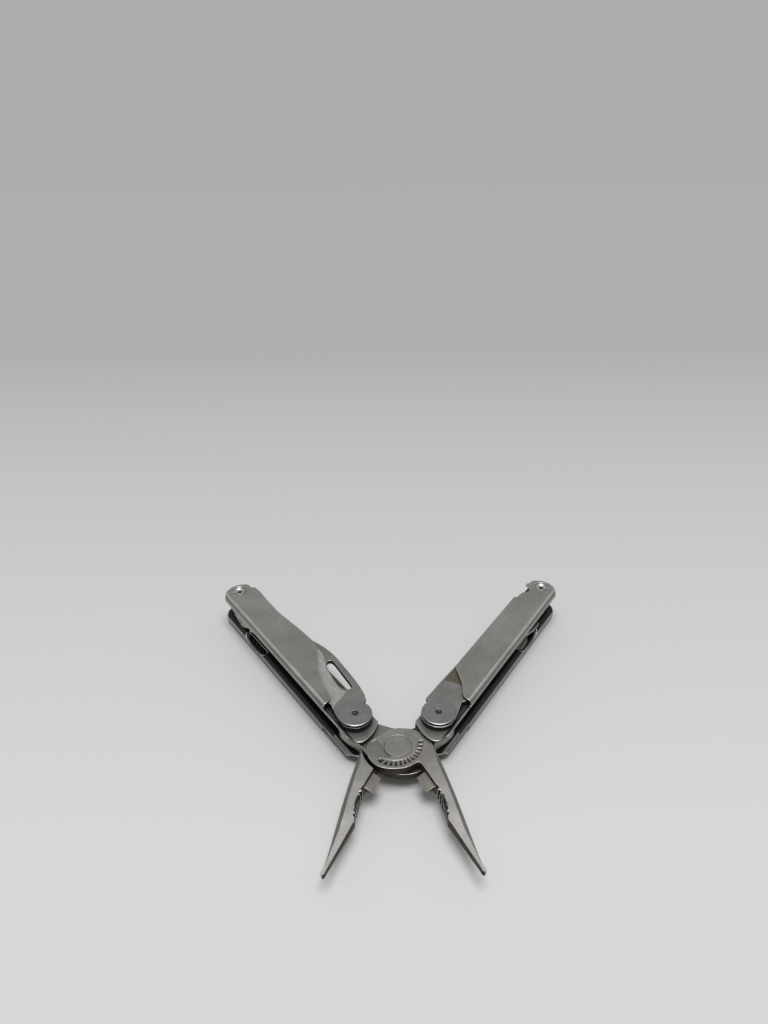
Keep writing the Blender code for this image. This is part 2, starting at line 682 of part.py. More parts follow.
def build_right_tools(pivot, mats):
    outline = blade_tang() + straight_back()
    outer_blade("file_blade", pivot, plain_shape(outline), mats["file"], True, False)
    serrated = outer_blade("serrated_blade", pivot, knife_shape(serrated_edge(), 3.2),
                           mats["blade"], True, True)
    cut(serrated, thumb_hole())
    far_tool("medium_screwdriver", pivot, driver_outline(4.4, 40, 16), DRIVER_LAYER,
             mats["tool"], True)
    far_tool("small_screwdriver", pivot, driver_outline(2.8, 36, 13), THIN_LAYER,
             mats["tool"], True)
    fixed = far_tool("scissors_fixed_blade", pivot, scissor_fixed_outline(), SCISSOR_LAYER,
                     mats["tool"], True)
    rx, ry = SCISSOR_RIVET
    drill(fixed, SCISSOR_RIVET_R + GAP, rx, -ry)
    lever_at = (HANDLE_PITCH + rx, -ry, 0)
    lever_mesh = plate("scissors_lever", turned_over(scissor_lever_outline()), *LEVER_LAYER,
                       mats["tool"], EDGE)
    lever = place("scissors_lever", lever_mesh, pivot, lever_at, -LEVER_SPRUNG)
    drill(lever, SCISSOR_RIVET_R + GAP)
    rivet = spun("scissors_rivet", [(SCISSOR_RIVET_R, -2.9), (SCISSOR_RIVET_R, -0.35)],
                 mats["tool"], 20)
    place("scissors_rivet", rivet, pivot, lever_at)
    leaf = plate("scissors_spring", turned_over(spring_outline()), *SPRING_LAYER,
                 mats["spring"])
    place("scissors_spring", leaf, pivot, (HANDLE_PITCH, 0, 0))


def world_points():
    """Every corner of the finished pieces, cutters left out."""
    bpy.context.view_layer.update()
    graph = bpy.context.evaluated_depsgraph_get()
    points = []
    for ob in bpy.context.scene.objects:
        if ob.type == "MESH" and not ob.hide_render:
            shown = ob.evaluated_get(graph)
            points += [ob.matrix_world @ v.co for v in shown.data.vertices]
    return points


def centre_on_floor(root):
    """Moves the whole tool so that its box is centred on X and Y and stands on Z = 0."""
    points = world_points()
    low = [min(p[i] for p in points) for i in range(3)]
    high = [max(p[i] for p in points) for i in range(3)]
    root.location = (-(low[0] + high[0]) / 2, -(low[1] + high[1]) / 2, -low[2])


def main():
    clear_scene()
    mats = {
        "handle": steel("handle_steel", (0.42, 0.41, 0.40), 0.42),
        "pliers": steel("plier_steel", (0.45, 0.43, 0.41), 0.38),
        "blade": steel("blade_steel", (0.50, 0.49, 0.47), 0.34),
        "file": steel("file_steel", (0.40, 0.38, 0.35), 0.45),
        "cap": steel("cap_steel", (0.46, 0.46, 0.47), 0.36),
        "screw": steel("screw_steel", (0.55, 0.55, 0.55), 0.28),
        "tool": steel("tool_steel", (0.47, 0.46, 0.45), 0.35),
        "spring": steel("spring_steel", (0.38, 0.38, 0.40), 0.33),
    }
    tool = axis("tool_centre", None, (0, 0, 0))
    plier_half("plier_jaw_upper", tool, JAW_OPEN, False, mats["pliers"])
    plier_half("plier_jaw_lower", tool, 180 - JAW_OPEN, True, mats["pliers"])
    plier_rivet("plier_rivet", tool, mats["pliers"])
    left = axis("left_pivot", tool, pivot_at(-1), 90 + HANDLE_OUT)
    right = axis("right_pivot", tool, pivot_at(1), 90 - HANDLE_OUT)
    build_handle_parts("left", left, mats)
    build_handle_parts("right", right, mats)
    build_left_tools(left, mats)
    build_right_tools(right, mats)
    centre_on_floor(tool)


main()
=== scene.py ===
"""Looks of the pocket multi tool: worn satin steel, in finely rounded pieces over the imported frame.

Outlines are in millimetres, each in the frame of its own pivot, as in the CAD source.
"""
import json
import math

import bmesh
import bpy
from mathutils import Matrix, Vector

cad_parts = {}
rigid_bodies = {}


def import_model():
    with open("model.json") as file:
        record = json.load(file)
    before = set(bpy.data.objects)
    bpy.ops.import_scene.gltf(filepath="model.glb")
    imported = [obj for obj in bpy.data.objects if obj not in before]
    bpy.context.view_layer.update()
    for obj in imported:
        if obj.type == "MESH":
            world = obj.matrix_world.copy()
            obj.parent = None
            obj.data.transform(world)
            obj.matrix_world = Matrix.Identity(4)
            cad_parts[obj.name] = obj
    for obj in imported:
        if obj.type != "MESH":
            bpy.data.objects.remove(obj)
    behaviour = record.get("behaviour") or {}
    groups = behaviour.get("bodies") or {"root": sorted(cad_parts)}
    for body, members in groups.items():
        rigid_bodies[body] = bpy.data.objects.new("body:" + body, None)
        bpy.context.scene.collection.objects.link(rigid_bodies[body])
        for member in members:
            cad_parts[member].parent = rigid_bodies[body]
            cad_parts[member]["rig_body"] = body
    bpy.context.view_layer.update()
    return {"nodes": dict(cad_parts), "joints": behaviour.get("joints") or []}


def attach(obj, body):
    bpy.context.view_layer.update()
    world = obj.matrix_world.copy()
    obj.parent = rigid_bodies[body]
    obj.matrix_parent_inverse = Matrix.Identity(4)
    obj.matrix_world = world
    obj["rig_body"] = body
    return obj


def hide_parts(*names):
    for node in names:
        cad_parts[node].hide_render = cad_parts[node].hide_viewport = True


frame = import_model()

MM = 0.001

# ---- driving dimensions, mm, as in the CAD source ----
HALF_THICK = 7.2        # mid plane to the outer face of a handle
SHEET = 0.9             # handle sheet
CHANNEL_HALF = 3.1      # mid plane to an inner wall
HANDLE_PITCH = 88.0     # near pivot to far pivot
FOLD_NEAR = 7.75        # pivot line to the folded edge, near end
FOLD_FAR = 6.9          # the same at the far end
WEB_OUT = 6.2           # pivot line to the outside of the web
FAR_ARC_R = 7.3         # rounded far end of a handle
FAR_ARC_U = 84.9        # its centre along the handle
LIP = 4.7               # height of the fold's edge where the panel is cut away
GAP = 0.25              # clearance between neighbouring pieces

TANG_REACH = 18.6       # rivet to near pivot
TANG_ANGLE = 25.9       # tang from the centre line, jaws shut, degrees
JAW_HALF = 2.75         # half thickness of the jaws and the boss
TIP_HALF = 1.15         # half thickness at the tip of the jaws
TAPER_FROM = 12.0       # rivet to where the jaws start to get thinner
TANG_HALF = 2.2         # half thickness of a tang
LAP_R = 12.6            # circle inside which each half is cut back to its own side
RIVET_R = 4.65          # head of the rivet
RIVET_SHANK_R = 2.6
SEAT_FLOOR = 1.5        # mid plane to the floor of the seat of the rivet's head
JAW_TIP = 52.3          # rivet to the tip
FACE = 0.12             # half the gap between the shut jaws, and between the lapped halves

BLADE_LOW = 4.25        # inner and outer faces of an outer blade
BLADE_HIGH = 6.05
PIVOT_R = 2.6           # barrel on the near pivot
CAP_R = 6.1             # broad heads on the near pivot
SHANK_R = 1.5           # screw inside the barrel on the near pivot
BARREL_BORE_R = 1.75
FAR_BARREL_R = 2.1
FAR_HEAD_R = 2.6
FAR_SHANK_R = 1.2
FAR_BARREL_BORE_R = 1.45
FAR_HEAD_UNDER = 5.9    # mid plane to the inner face of a far head
FAR_SEAT = 5.0          # mid plane to the floor of the seat of a far head
LEVER_SPRUNG = 11.0     # scissors lever held open by its spring, degrees

FINE = 3                # how many times finer a curve is here than in the CAD source
ROUND = 96              # sides of a turned piece
BEYOND = 9.0            # a cutter reaches this far from the mid plane, past both faces
TRIM_NEAR = -14.0       # reach of the handle's trims, past its near end and its web
TRIM_OPEN = 12.0        # their reach past its folded edge
TRIM_FAR = 100.0        # their reach past its far end


# ---- outlines ----

def arc(cx, cy, r, start, end, steps):
    """Points on a circle from start to end, in degrees."""
    steps *= FINE
    turn = [math.radians(start + (end - start) * i / steps) for i in range(steps + 1)]
    return [(cx + r * math.cos(t), cy + r * math.sin(t)) for t in turn]


def curve(points, steps=3):
    """A smooth open curve through the points."""
    steps *= FINE
    ends = [points[0]] + list(points) + [points[-1]]
    out = []
    for a, b, c, d in zip(ends, ends[1:], ends[2:], ends[3:]):
        for i in range(steps):
            t = i / steps
            out.append(tuple(0.5 * (2 * q + (r - p) * t + (2 * p - 5 * q + 4 * r - s) * t * t
                                    + (3 * q - p - 3 * r + s) * t ** 3)
                             for p, q, r, s in zip(a, b, c, d)))
    return out + [tuple(points[-1])]


def turned_over(outline):
    return [(x, -y) for x, y in outline]


def signed_area(outline):
    pairs = zip(outline, outline[1:] + outline[:1])
    return 0.5 * sum(a[0] * b[1] - b[0] * a[1] for a, b in pairs)


def inset(outline, amounts):
    """The outline moved inward, by one amount for each point."""
    side = 1 if signed_area(outline) > 0 else -1
    count = len(outline)
    out = []
    for i, (here, amount) in enumerate(zip(outline, amounts)):
        before = Vector(here) - Vector(outline[i - 1])
        after = Vector(outline[(i + 1) % count]) - Vector(here)
        n1 = Vector((-before.y, before.x)).normalized() * side
        n2 = Vector((-after.y, after.x)).normalized() * side
        mitre = (n1 + n2) / max(0.6, 1 + n1.dot(n2))
        out.append((here[0] + mitre.x * amount, here[1] + mitre.y * amount))
    return out


# ---- solids ----

def closed_mesh(name, bm):
    """The bmesh as a mesh with its faces pointing out."""
    bmesh.ops.recalc_face_normals(bm, faces=bm.faces)
    mesh = bpy.data.meshes.new(name)
    bm.to_mesh(mesh)
    bm.free()
    return mesh


def skin(name, loops):
    """A closed mesh through equal loops of 3D points, with its two ends filled."""
    bm = bmesh.new()
    rings = [[bm.verts.new(Vector(p) * MM) for p in loop] for loop in loops]
    for low, high in zip(rings, rings[1:]):
        for i in range(len(low)):
            j = (i + 1) % len(low)
            bm.faces.new((low[i], low[j], high[j], high[i]))
    bm.faces.new(rings[0])
    bm.faces.new(rings[-1])
    return closed_mesh(name, bm)


def stacked(name, rings):
    """A closed mesh through flat rings, each an outline and its height."""
    return skin(name, [[(x, y, z) for x, y in ring] for ring, z in rings])


def plate(name, outline, z0, z1, edge=0.0, drop=None):
    """A flat plate; edge is the width of a chamfer all round, or one per point, and drop its depth."""
    widths = edge if isinstance(edge, list) else [edge] * len(outline)
    if not any(widths):
        return stacked(name, [(outline, z0), (outline, z1)])
    small = inset(outline, widths)
    drop = drop or min(0.35 * (z1 - z0), max(widths))
    return stacked(name, [(small, z0), (outline, z0 + drop), (outline, z1 - drop), (small, z1)])


def spun(name, profile, at=(0, 0), segments=ROUND):
    """A turned solid about Z from (radius, height) points; both ends are filled."""
    around = [2 * math.pi * i / segments for i in range(segments)]
    loops = [[(at[0] + r * math.cos(t), at[1] + r * math.sin(t), z) for t in around]
             for r, z in profile]
    return skin(name, loops)


def bore(radius, at=(0, 0), z0=-BEYOND, z1=BEYOND):
    """A round hole, as a cutter."""
    return spun("bore", [(radius, z0), (radius, z1)], at)


def box(low, high):
    """A block between two opposite corners."""
    (x0, y0, z0), (x1, y1, z1) = low, high
    return plate("box", [(x0, y0), (x1, y0), (x1, y1), (x0, y1)], z0, z1)


def link(name, mesh):
    ob = bpy.data.objects.new(name, mesh)
    bpy.context.scene.collection.objects.link(ob)
    return ob


def evaluated(ob):
    graph = bpy.context.evaluated_depsgraph_get()
    return bpy.data.meshes.new_from_object(ob.evaluated_get(graph))


def carve(mesh, cuts=(), joins=()):
    """The mesh joined with some solids and then cut by others. A cut's own material goes with it."""
    ob = link("carved", mesh)
    tools = [("UNION", m) for m in joins] + [("DIFFERENCE", m) for m in cuts]
    helpers = []
    for operation, tool_mesh in tools:
        helper = link("tool", tool_mesh)
        mod = ob.modifiers.new("step", "BOOLEAN")
        mod.operation, mod.solver, mod.object = operation, "EXACT", helper
        mod.material_mode = "TRANSFER"
        helpers.append(helper)
    bpy.context.view_layer.update()
    result = evaluated(ob)
    for helper in helpers + [ob]:
        bpy.data.objects.remove(helper)
    return result


# ---- finishes ----

def add_noise(tree, place, scale, detail=2.0, stretch=(1, 1, 1), turn=0.0):
    """Noise with so many cells per metre, drawn out along an axis if asked."""
    mapping = tree.nodes.new("ShaderNodeMapping")
    mapping.inputs["Scale"].default_value = [scale * s for s in stretch]
    mapping.inputs["Rotation"].default_value = (0, 0, turn)
    texture = tree.nodes.new("ShaderNodeTexNoise")
    texture.inputs["Scale"].default_value = 1.0
    texture.inputs["Detail"].default_value = detail
    tree.links.new(place, mapping.inputs["Vector"])
    tree.links.new(mapping.outputs["Vector"], texture.inputs["Vector"])
    return texture.outputs["Fac"]


def spread(tree, value, low, high, out_low, out_high):
    """The value's stretch from low to high, as out_low to out_high."""
    node = tree.nodes.new("ShaderNodeMapRange")
    for socket, number in zip(("From Min", "From Max", "To Min", "To Max"),
                              (low, high, out_low, out_high)):
        node.inputs[socket].default_value = number
    tree.links.new(value, node.inputs["Value"])
    return node.outputs["Result"]


def calculate(tree, operation, a, b):
    node = tree.nodes.new("ShaderNodeMath")
    node.operation = operation
    for socket, value in zip(node.inputs, (a, b)):
        if isinstance(value, float):
            socket.default_value = value
        else:
            tree.links.new(value, socket)
    return node.outputs["Value"]


def coordinates(tree, place):
    """The X, Y and Z of a place, as named outputs."""
    parts = tree.nodes.new("ShaderNodeSeparateXYZ")
    tree.links.new(place, parts.inputs["Vector"])
    return parts.outputs


def tint(tree, share, colour, towards):
    """The colour drawn towards another one by a share."""
    node = tree.nodes.new("ShaderNodeMix")
    node.data_type = "RGBA"
    colours = [s for s in node.inputs if s.type == "RGBA"]
    tree.links.new(share, node.inputs["Factor"])
    tree.links.new(colour, colours[0])
    colours[1].default_value = (*towards, 1)
    return [s for s in node.outputs if s.type == "RGBA"][0]


BROWN = (0.20, 0.145, 0.10)
SHADE_GRIME_COLOUR = (0.035, 0.031, 0.027)


def steel(name, colour, rough, brush=0.0, stain=0.2, shade_grime_strength=0.8, relief=0.5, fade=None):
    """Worn steel: blasted grain or brushed lines, clouded tone, scratches, and painted shade with
    soiling in its corners.

    fade is a painted shade: an axis, two places along it in mm, and how dark the shade leaves the
    first of them.
    """
    mat = bpy.data.materials.new(name)
    mat.use_nodes = True
    mat.diffuse_color = (*colour, 1)
    tree = mat.node_tree
    shader = tree.nodes["Principled BSDF"]
    shader.inputs["Metallic"].default_value = 1.0
    place = tree.nodes.new("ShaderNodeTexCoord").outputs["Object"]

    cloud = add_noise(tree, place, 110, 4.0)
    blotch = add_noise(tree, place, 420, 3.0)
    grain = add_noise(tree, place, 2600, 3.0)
    lines = add_noise(tree, place, 3800, 2.0, (0.03, 1, 1))
    across = add_noise(tree, place, 5200, 2.0, (0.012, 1, 1), 0.45)
    marks = add_noise(tree, place, 3000, 1.0, (1, 0.02, 0.5), -0.3)
    patches = add_noise(tree, place, 70, 5.0)

    tone = calculate(tree, "MULTIPLY", spread(tree, cloud, 0.3, 0.7, 0.93, 1.05),
                     spread(tree, blotch, 0.3, 0.7, 0.95, 1.05))
    tone = calculate(tree, "MULTIPLY", tone, spread(tree, grain, 0.3, 0.7, 0.93, 1.07))
    tone = calculate(tree, "MULTIPLY", tone,
                     spread(tree, lines, 0.3, 0.7, 1 - 0.22 * brush, 1 + 0.18 * brush))
    scratch = calculate(tree, "MAXIMUM", spread(tree, across, 0.69, 0.76, 0.0, 1.0),
                        spread(tree, marks, 0.72, 0.78, 0.0, 1.0))
    tone = calculate(tree, "MULTIPLY", tone, spread(tree, scratch, 0.0, 1.0, 1.0, 1.25))
    # painted shade: the tone darkens along one axis towards one end of the piece
    if fade:
        along, shaded_at, lit_at, share = fade
        low, high = sorted((shaded_at, lit_at))
        ends = (share, 1.0) if shaded_at < lit_at else (1.0, share)
        tone = calculate(tree, "MULTIPLY", tone,
                         spread(tree, coordinates(tree, place)[along], low * MM, high * MM, *ends))

    shade = tree.nodes.new("ShaderNodeHueSaturation")
    shade.inputs["Color"].default_value = (*colour, 1)
    tree.links.new(tone, shade.inputs["Value"])
    stained = tint(tree, spread(tree, patches, 0.52, 0.74, 0.0, stain),
                   shade.outputs["Color"], BROWN)
    # painted shade with soiling: the colour goes towards near-black where ambient occlusion finds
    # corners and creases, which are also made rougher
    corner = tree.nodes.new("ShaderNodeAmbientOcclusion")
    corner.samples = 8
    corner.inputs["Distance"].default_value = 2.5 * MM
    shade_grime_mask = spread(tree, corner.outputs["AO"], 0.2, 0.92, shade_grime_strength, 0.0)
    shade_grime_tinted = tint(tree, shade_grime_mask, stained, SHADE_GRIME_COLOUR)
    tree.links.new(shade_grime_tinted, shader.inputs["Base Color"])

    roughness = calculate(tree, "ADD", spread(tree, cloud, 0.3, 0.7, rough - 0.03, rough + 0.04),
                          spread(tree, grain, 0.3, 0.7, -0.03, 0.03))
    roughness = calculate(tree, "SUBTRACT", roughness,
                          spread(tree, scratch, 0.0, 1.0, 0.0, 0.1))
    tree.links.new(calculate(tree, "ADD", roughness, spread(tree, shade_grime_mask, 0.0, 1.0, 0.0, 0.25)),
                   shader.inputs["Roughness"])

    height = calculate(tree, "ADD", calculate(tree, "MULTIPLY", grain, 1.0 - 0.6 * brush),
                       calculate(tree, "MULTIPLY", lines, 1.2 * brush))
    height = calculate(tree, "ADD", height, calculate(tree, "MULTIPLY", blotch, 0.8))
    height = calculate(tree, "SUBTRACT", height, calculate(tree, "MULTIPLY", scratch, 0.5))
    bump = tree.nodes.new("ShaderNodeBump")
    bump.inputs["Strength"].default_value = relief
    bump.inputs["Distance"].default_value = 0.02 * MM
    tree.links.new(height, bump.inputs["Height"])
    tree.links.new(bump.outputs["Normal"], shader.inputs["Normal"])
    return mat


FINISH = {
    # painted shade: the panel darkens towards its near end
    "panel": steel("blasted_panel", (0.40, 0.391, 0.375), 0.38, brush=0.2, stain=0.12,
                   fade=("X", 8, 62, 0.82)),
    # painted shade: a near-black steel put on faces that lie in shade
    "channel": steel("near_black_painted_shade", (0.062, 0.06, 0.058), 0.52, brush=0.2, stain=0.3),
    # bright steel for worn rounded edges, and for the painted highlight along the fold shoulders
    "edge": steel("worn_edge_and_highlight", (0.64, 0.63, 0.61), 0.33, stain=0.1, shade_grime_strength=0.5, relief=0.3),
    # painted shade: the plier steel darkens towards the boss
    "plier": steel("cast_plier_steel", (0.545, 0.525, 0.498), 0.35, stain=0.3, relief=0.7,
                   fade=("Y", -8, -30, 0.68)),
    # rough dark-brown gripping steel, also used as painted shade on the boss's sides and lapped faces
    "grip_and_shade": steel("gripping_face", (0.075, 0.062, 0.05), 0.55, stain=0.4, relief=0.9),
    "cutter": steel("wire_cutter_bevel", (0.30, 0.275, 0.25), 0.42, stain=0.5, relief=0.6),
    # painted shade: a darker copy of the plier steel for the recessed faces of the boss
    "boss": steel("shaded_boss_recess", (0.25, 0.24, 0.225), 0.45, stain=0.4, relief=0.9),
    # painted shade: a darker copy of the plier steel on the sloped outer chamfer
    "chamfer": steel("shaded_jaw_chamfer", (0.30, 0.295, 0.288), 0.42, stain=0.3, relief=0.7),
    # painted shade: near-black on the floor of the boss's groove and on the cut edges of the panels
    "groove": steel("groove_and_cut_edge_shade", (0.06, 0.055, 0.05), 0.6, stain=0.2),
    "blade": steel("blade_tang_steel", (0.31, 0.305, 0.293), 0.38, brush=0.5),
    "ground": steel("ground_flat", (0.64, 0.625, 0.60), 0.32, brush=1.0, stain=0.15),
    "file": steel("file_cut", (0.13, 0.117, 0.09), 0.5, stain=0.5),
    "cap": steel("pivot_cap", (0.31, 0.31, 0.317), 0.34, brush=0.1, stain=0.05),
    # painted shade: near-black on the walls of drive recesses and of the thumb hole
    "recess": steel("painted_shade_in_recess", (0.08, 0.08, 0.08), 0.5, stain=0.2),
    "screw": steel("bright_screw", (0.66, 0.66, 0.66), 0.26, stain=0.1),
    "tool": steel("small_tool_steel", (0.52, 0.51, 0.50), 0.34, brush=0.6),
    "spring": steel("spring_leaf", (0.45, 0.44, 0.43), 0.32, brush=0.4),
}


def split_across(mesh, axis, at):
    """The same mesh with its faces split where they cross a plane, at mm along an axis."""
    normal = [0, 0, 0]
    normal[axis] = 1
    bm = bmesh.new()
    bm.from_mesh(mesh)
    bmesh.ops.bisect_plane(bm, geom=bm.verts[:] + bm.edges[:] + bm.faces[:],
                           plane_co=Vector(normal) * at * MM, plane_no=normal)
    bm.to_mesh(mesh)
    bm.free()
    return mesh


def coated(mesh, *finishes):
    """The mesh with these finishes in its material slots."""
    for finish in finishes:
        mesh.materials.append(FINISH[finish])
    return mesh


def paint(mesh, finish, test):
    """Gives a finish to the faces whose centre (mm) and direction pass the test."""
    mesh.materials.append(FINISH[finish])
    index = len(mesh.materials) - 1
    for face in mesh.polygons:
        if test(face.center / MM, face.normal):
            face.material_index = index
    return mesh


# ---- placing ----

EDGE_SLOT = 1           # material slot that a rounded edge takes
CREASE = math.radians(9)
ROUNDED = math.radians(32)


def add_piece(node, mesh, place, edge=0.1, segments=2):
    """Puts a fine piece in the place of a CAD node, with its edges rounded and worn."""
    ob = link(node + "_piece", mesh)
    ob.matrix_world = place
    mesh.shade_smooth()
    mesh.set_sharp_from_angle(angle=CREASE)
    if edge:
        bevel = ob.modifiers.new("rounded_edges", "BEVEL")
        bevel.width = edge * MM
        bevel.segments = segments
        bevel.limit_method = "ANGLE"
        bevel.angle_limit = ROUNDED
        bevel.use_clamp_overlap = False
        bevel.material = EDGE_SLOT
    normals = ob.modifiers.new("even_shading", "WEIGHTED_NORMAL")
    normals.keep_sharp = True
    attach(ob, frame["nodes"][node]["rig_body"])
    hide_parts(node)
    return ob


def joint_at(name):
    return Vector(next(j["pos_m"] for j in frame["joints"] if j["name"] == name))


def shift(u, v):
    return Matrix.Translation((u * MM, v * MM, 0))


def turn(degrees, about="Z"):
    return Matrix.Rotation(math.radians(degrees), 4, about)


def handle_place(near, far):
    """Frame of a handle: its near pivot, with X along the handle."""
    run = joint_at(far) - joint_at(near)
    return Matrix.Translation(joint_at(near)) @ turn(math.degrees(math.atan2(run.y, run.x)))


RIVET = joint_at("plier_squeeze")
LEFT = handle_place("handle_fold", "can_opener_out")
RIGHT = handle_place("right_handle_fold", "scissors_out")
OVER = turn(180, "X")
TANG_RUN = joint_at("handle_fold") - RIVET
JAW_OPEN = math.degrees(math.atan2(-TANG_RUN.x, TANG_RUN.y)) - TANG_ANGLE


# ---- folded handle ----

def handle_section(u, fold, panel):
    """Cross-section of the folded sheet: web, two walls, two rounded folds, two outer panels."""
    wall_out = CHANNEL_HALF + SHEET
    panel_in = HALF_THICK - SHEET
    bend_z = (CHANNEL_HALF + HALF_THICK) / 2
    big = (HALF_THICK - CHANNEL_HALF) / 2
    small = big - SHEET
    centre = fold - big
    corner = 0.5
    upper = [(-WEB_OUT, wall_out - corner), (-WEB_OUT + 0.15, wall_out - 0.15),
             (-WEB_OUT + corner, wall_out)]
    upper += arc(centre, bend_z, small, -90, 90, 6)
    upper += [(-panel, panel_in), (-panel, HALF_THICK)]
    upper += arc(centre, bend_z, big, 90, -90, 8)
    upper += [(-WEB_OUT + SHEET + 0.4, CHANNEL_HALF), (-WEB_OUT + SHEET, CHANNEL_HALF - 0.4)]
    lower = [(v, -z) for v, z in reversed(upper)]
    return [(u, v, z) for v, z in upper + lower]


def panel_edge_by_knife():
    """Edge of the outer panel beside the blade with the thumb hole, from the fold to the far end."""
    s_curve = curve([(10.0, 6.6), (10.3, 4.6), (11.9, 3.0), (14.8, 1.7), (20.1, 0.9), (25.5, -0.9),
                     (30.6, -3.4), (35.7, -6.3), (38.2, -7.7), (41.5, -8.3), (51, -7.8),
                     (59.8, -6.9), (66.8, -6.4), (75.4, -6.6), (83, -7.0)])
    return s_curve + [(86.2, -6.5), (87.3, -5.3), (90.5, -5.2)]


def panel_edge_by_file():
    """Edge of the other outer panel: straight, with a scallop that shows the blade's end."""
    s_curve = curve([(11.0, 7.0), (11.2, 4.6), (12.8, 2.7), (16.6, 0.3), (19.2, -2.1),
                     (22.2, -5.1), (24.2, -6.2), (27, -6.6)])
    scallop = curve([(75, -6.7), (75.7, -5.7), (78, -5.4), (79.8, -4.3), (82.2, -3.3),
                     (84.4, -3.9), (85.4, -6.1)], 2)
    return s_curve + scallop + [(86.6, -6.2), (88.2, -5.2), (90.5, -5.2)]


def outside_panel(edge, z0, z1):
    """Everything beyond the panel's edge, as a cutter."""
    far = 97.0
    outline = [(edge[0][0], TRIM_OPEN)] + edge
    outline += [(far, edge[-1][1]), (far, TRIM_NEAR), (TRIM_NEAR, TRIM_NEAR),
                (TRIM_NEAR, TRIM_OPEN)]
    return plate("panel_trim", outline, z0, z1)


def far_end_trim():
    """Everything beyond the rounded far end."""
    end = arc(FAR_ARC_U, 0.3, FAR_ARC_R, 76, -64, 16)
    beyond = [(end[-1][0], TRIM_NEAR), (TRIM_FAR, TRIM_NEAR), (TRIM_FAR, TRIM_OPEN),
              (end[0][0], TRIM_OPEN)]
    return plate("far_trim", end + beyond, -BEYOND, BEYOND)


def near_end_trim():
    """Everything beyond the rounded near end of the two inner walls."""
    end = curve([(-4.2, -6.6), (-5.6, -6.0), (-7.2, -4.2), (-8.8, -1.6), (-9.7, 1.1), (-10.0, 3.4),
                 (-9.5, 4.8), (-8.6, 5.7), (-7.4, 6.5), (-6.1, 7.2), (-4.8, 7.9)], 2)
    beyond = [(end[-1][0], TRIM_OPEN), (TRIM_NEAR, TRIM_OPEN), (TRIM_NEAR, TRIM_NEAR),
              (end[0][0], TRIM_NEAR)]
    return plate("near_trim", end + beyond, -BEYOND, BEYOND)


def nail_scallop(side):
    """Hollow in one folded edge that lets a nail reach the small tools; side is +1 up, -1 down."""
    middle, half_long, depth, inner, outer = 64.5, 8.0, 1.7, 4.4, 10.0
    base = CHANNEL_HALF - 0.5
    steps = 8 * FINE
    half_turn = [math.pi * i / steps for i in range(steps + 1)]
    hollow = [(middle - half_long * math.cos(t), CHANNEL_HALF + depth * math.sin(t))
              for t in half_turn]
    hollow += [(middle + half_long, base), (middle - half_long, base)]
    return skin("nail_scallop", [[(u, v, side * z) for u, z in hollow] for v in (inner, outer)])


def inside_fold(centre, normal):
    """Whether a face looks into the channel of the small tools or into a blade's slot."""
    if abs(centre.z) < CHANNEL_HALF + 0.05:
        return centre.y > SHEET - WEB_OUT - 0.2
    facing_blade = abs(centre.z) < HALF_THICK - SHEET + 0.05 and centre.x > 4
    return facing_blade and centre.y < FOLD_FAR - 2.2


def fold_root(centre, normal):
    """Whether a face is on the part of a fold next to the channel, which gets painted shade."""
    return centre.y > FOLD_FAR - 3 and abs(centre.z) < CHANNEL_HALF + 0.7 and centre.x > 4


def cut_back_fold(upper):
    """Test for the outside of what is left of the upper fold beside the pivot, which gets painted
    shade.
    """
    return lambda centre, normal: (centre.x < 10 and centre.y > 5 and abs(normal.z) < 0.95
                                   and 0 < upper * centre.z < CHANNEL_HALF + 1.6)


def near_end_cut(centre, normal):
    """Whether a face is on the cut edge of the sheet round the near pivot."""
    return centre.x < -3 and abs(normal.z) < 0.3 and abs(centre.z) > CHANNEL_HALF


def painted_fold_highlight(centre, normal):
    """Whether a face is on the painted highlight line where a panel starts to fold."""
    return centre.y > 4 and abs(centre.z) > 6 and 0.80 < abs(normal.z) < 0.985


def panel_cut(centre, normal):
    """Whether a face is on the cut edge of a panel beside its blade."""
    in_panel = abs(centre.z) > HALF_THICK - SHEET and abs(normal.z) < 0.3
    return in_panel and centre.y < 5.8 and centre.x < 84


def finger_slots():
    """Two slots along the web that part its spring fingers."""
    start, end, spacing, half_wide = 34, 82, 2.0, 0.3
    return [box((start, -9, z - half_wide), (end, -WEB_OUT + SHEET + 0.5, z + half_wide))
            for z in (-spacing / 2, spacing / 2)]


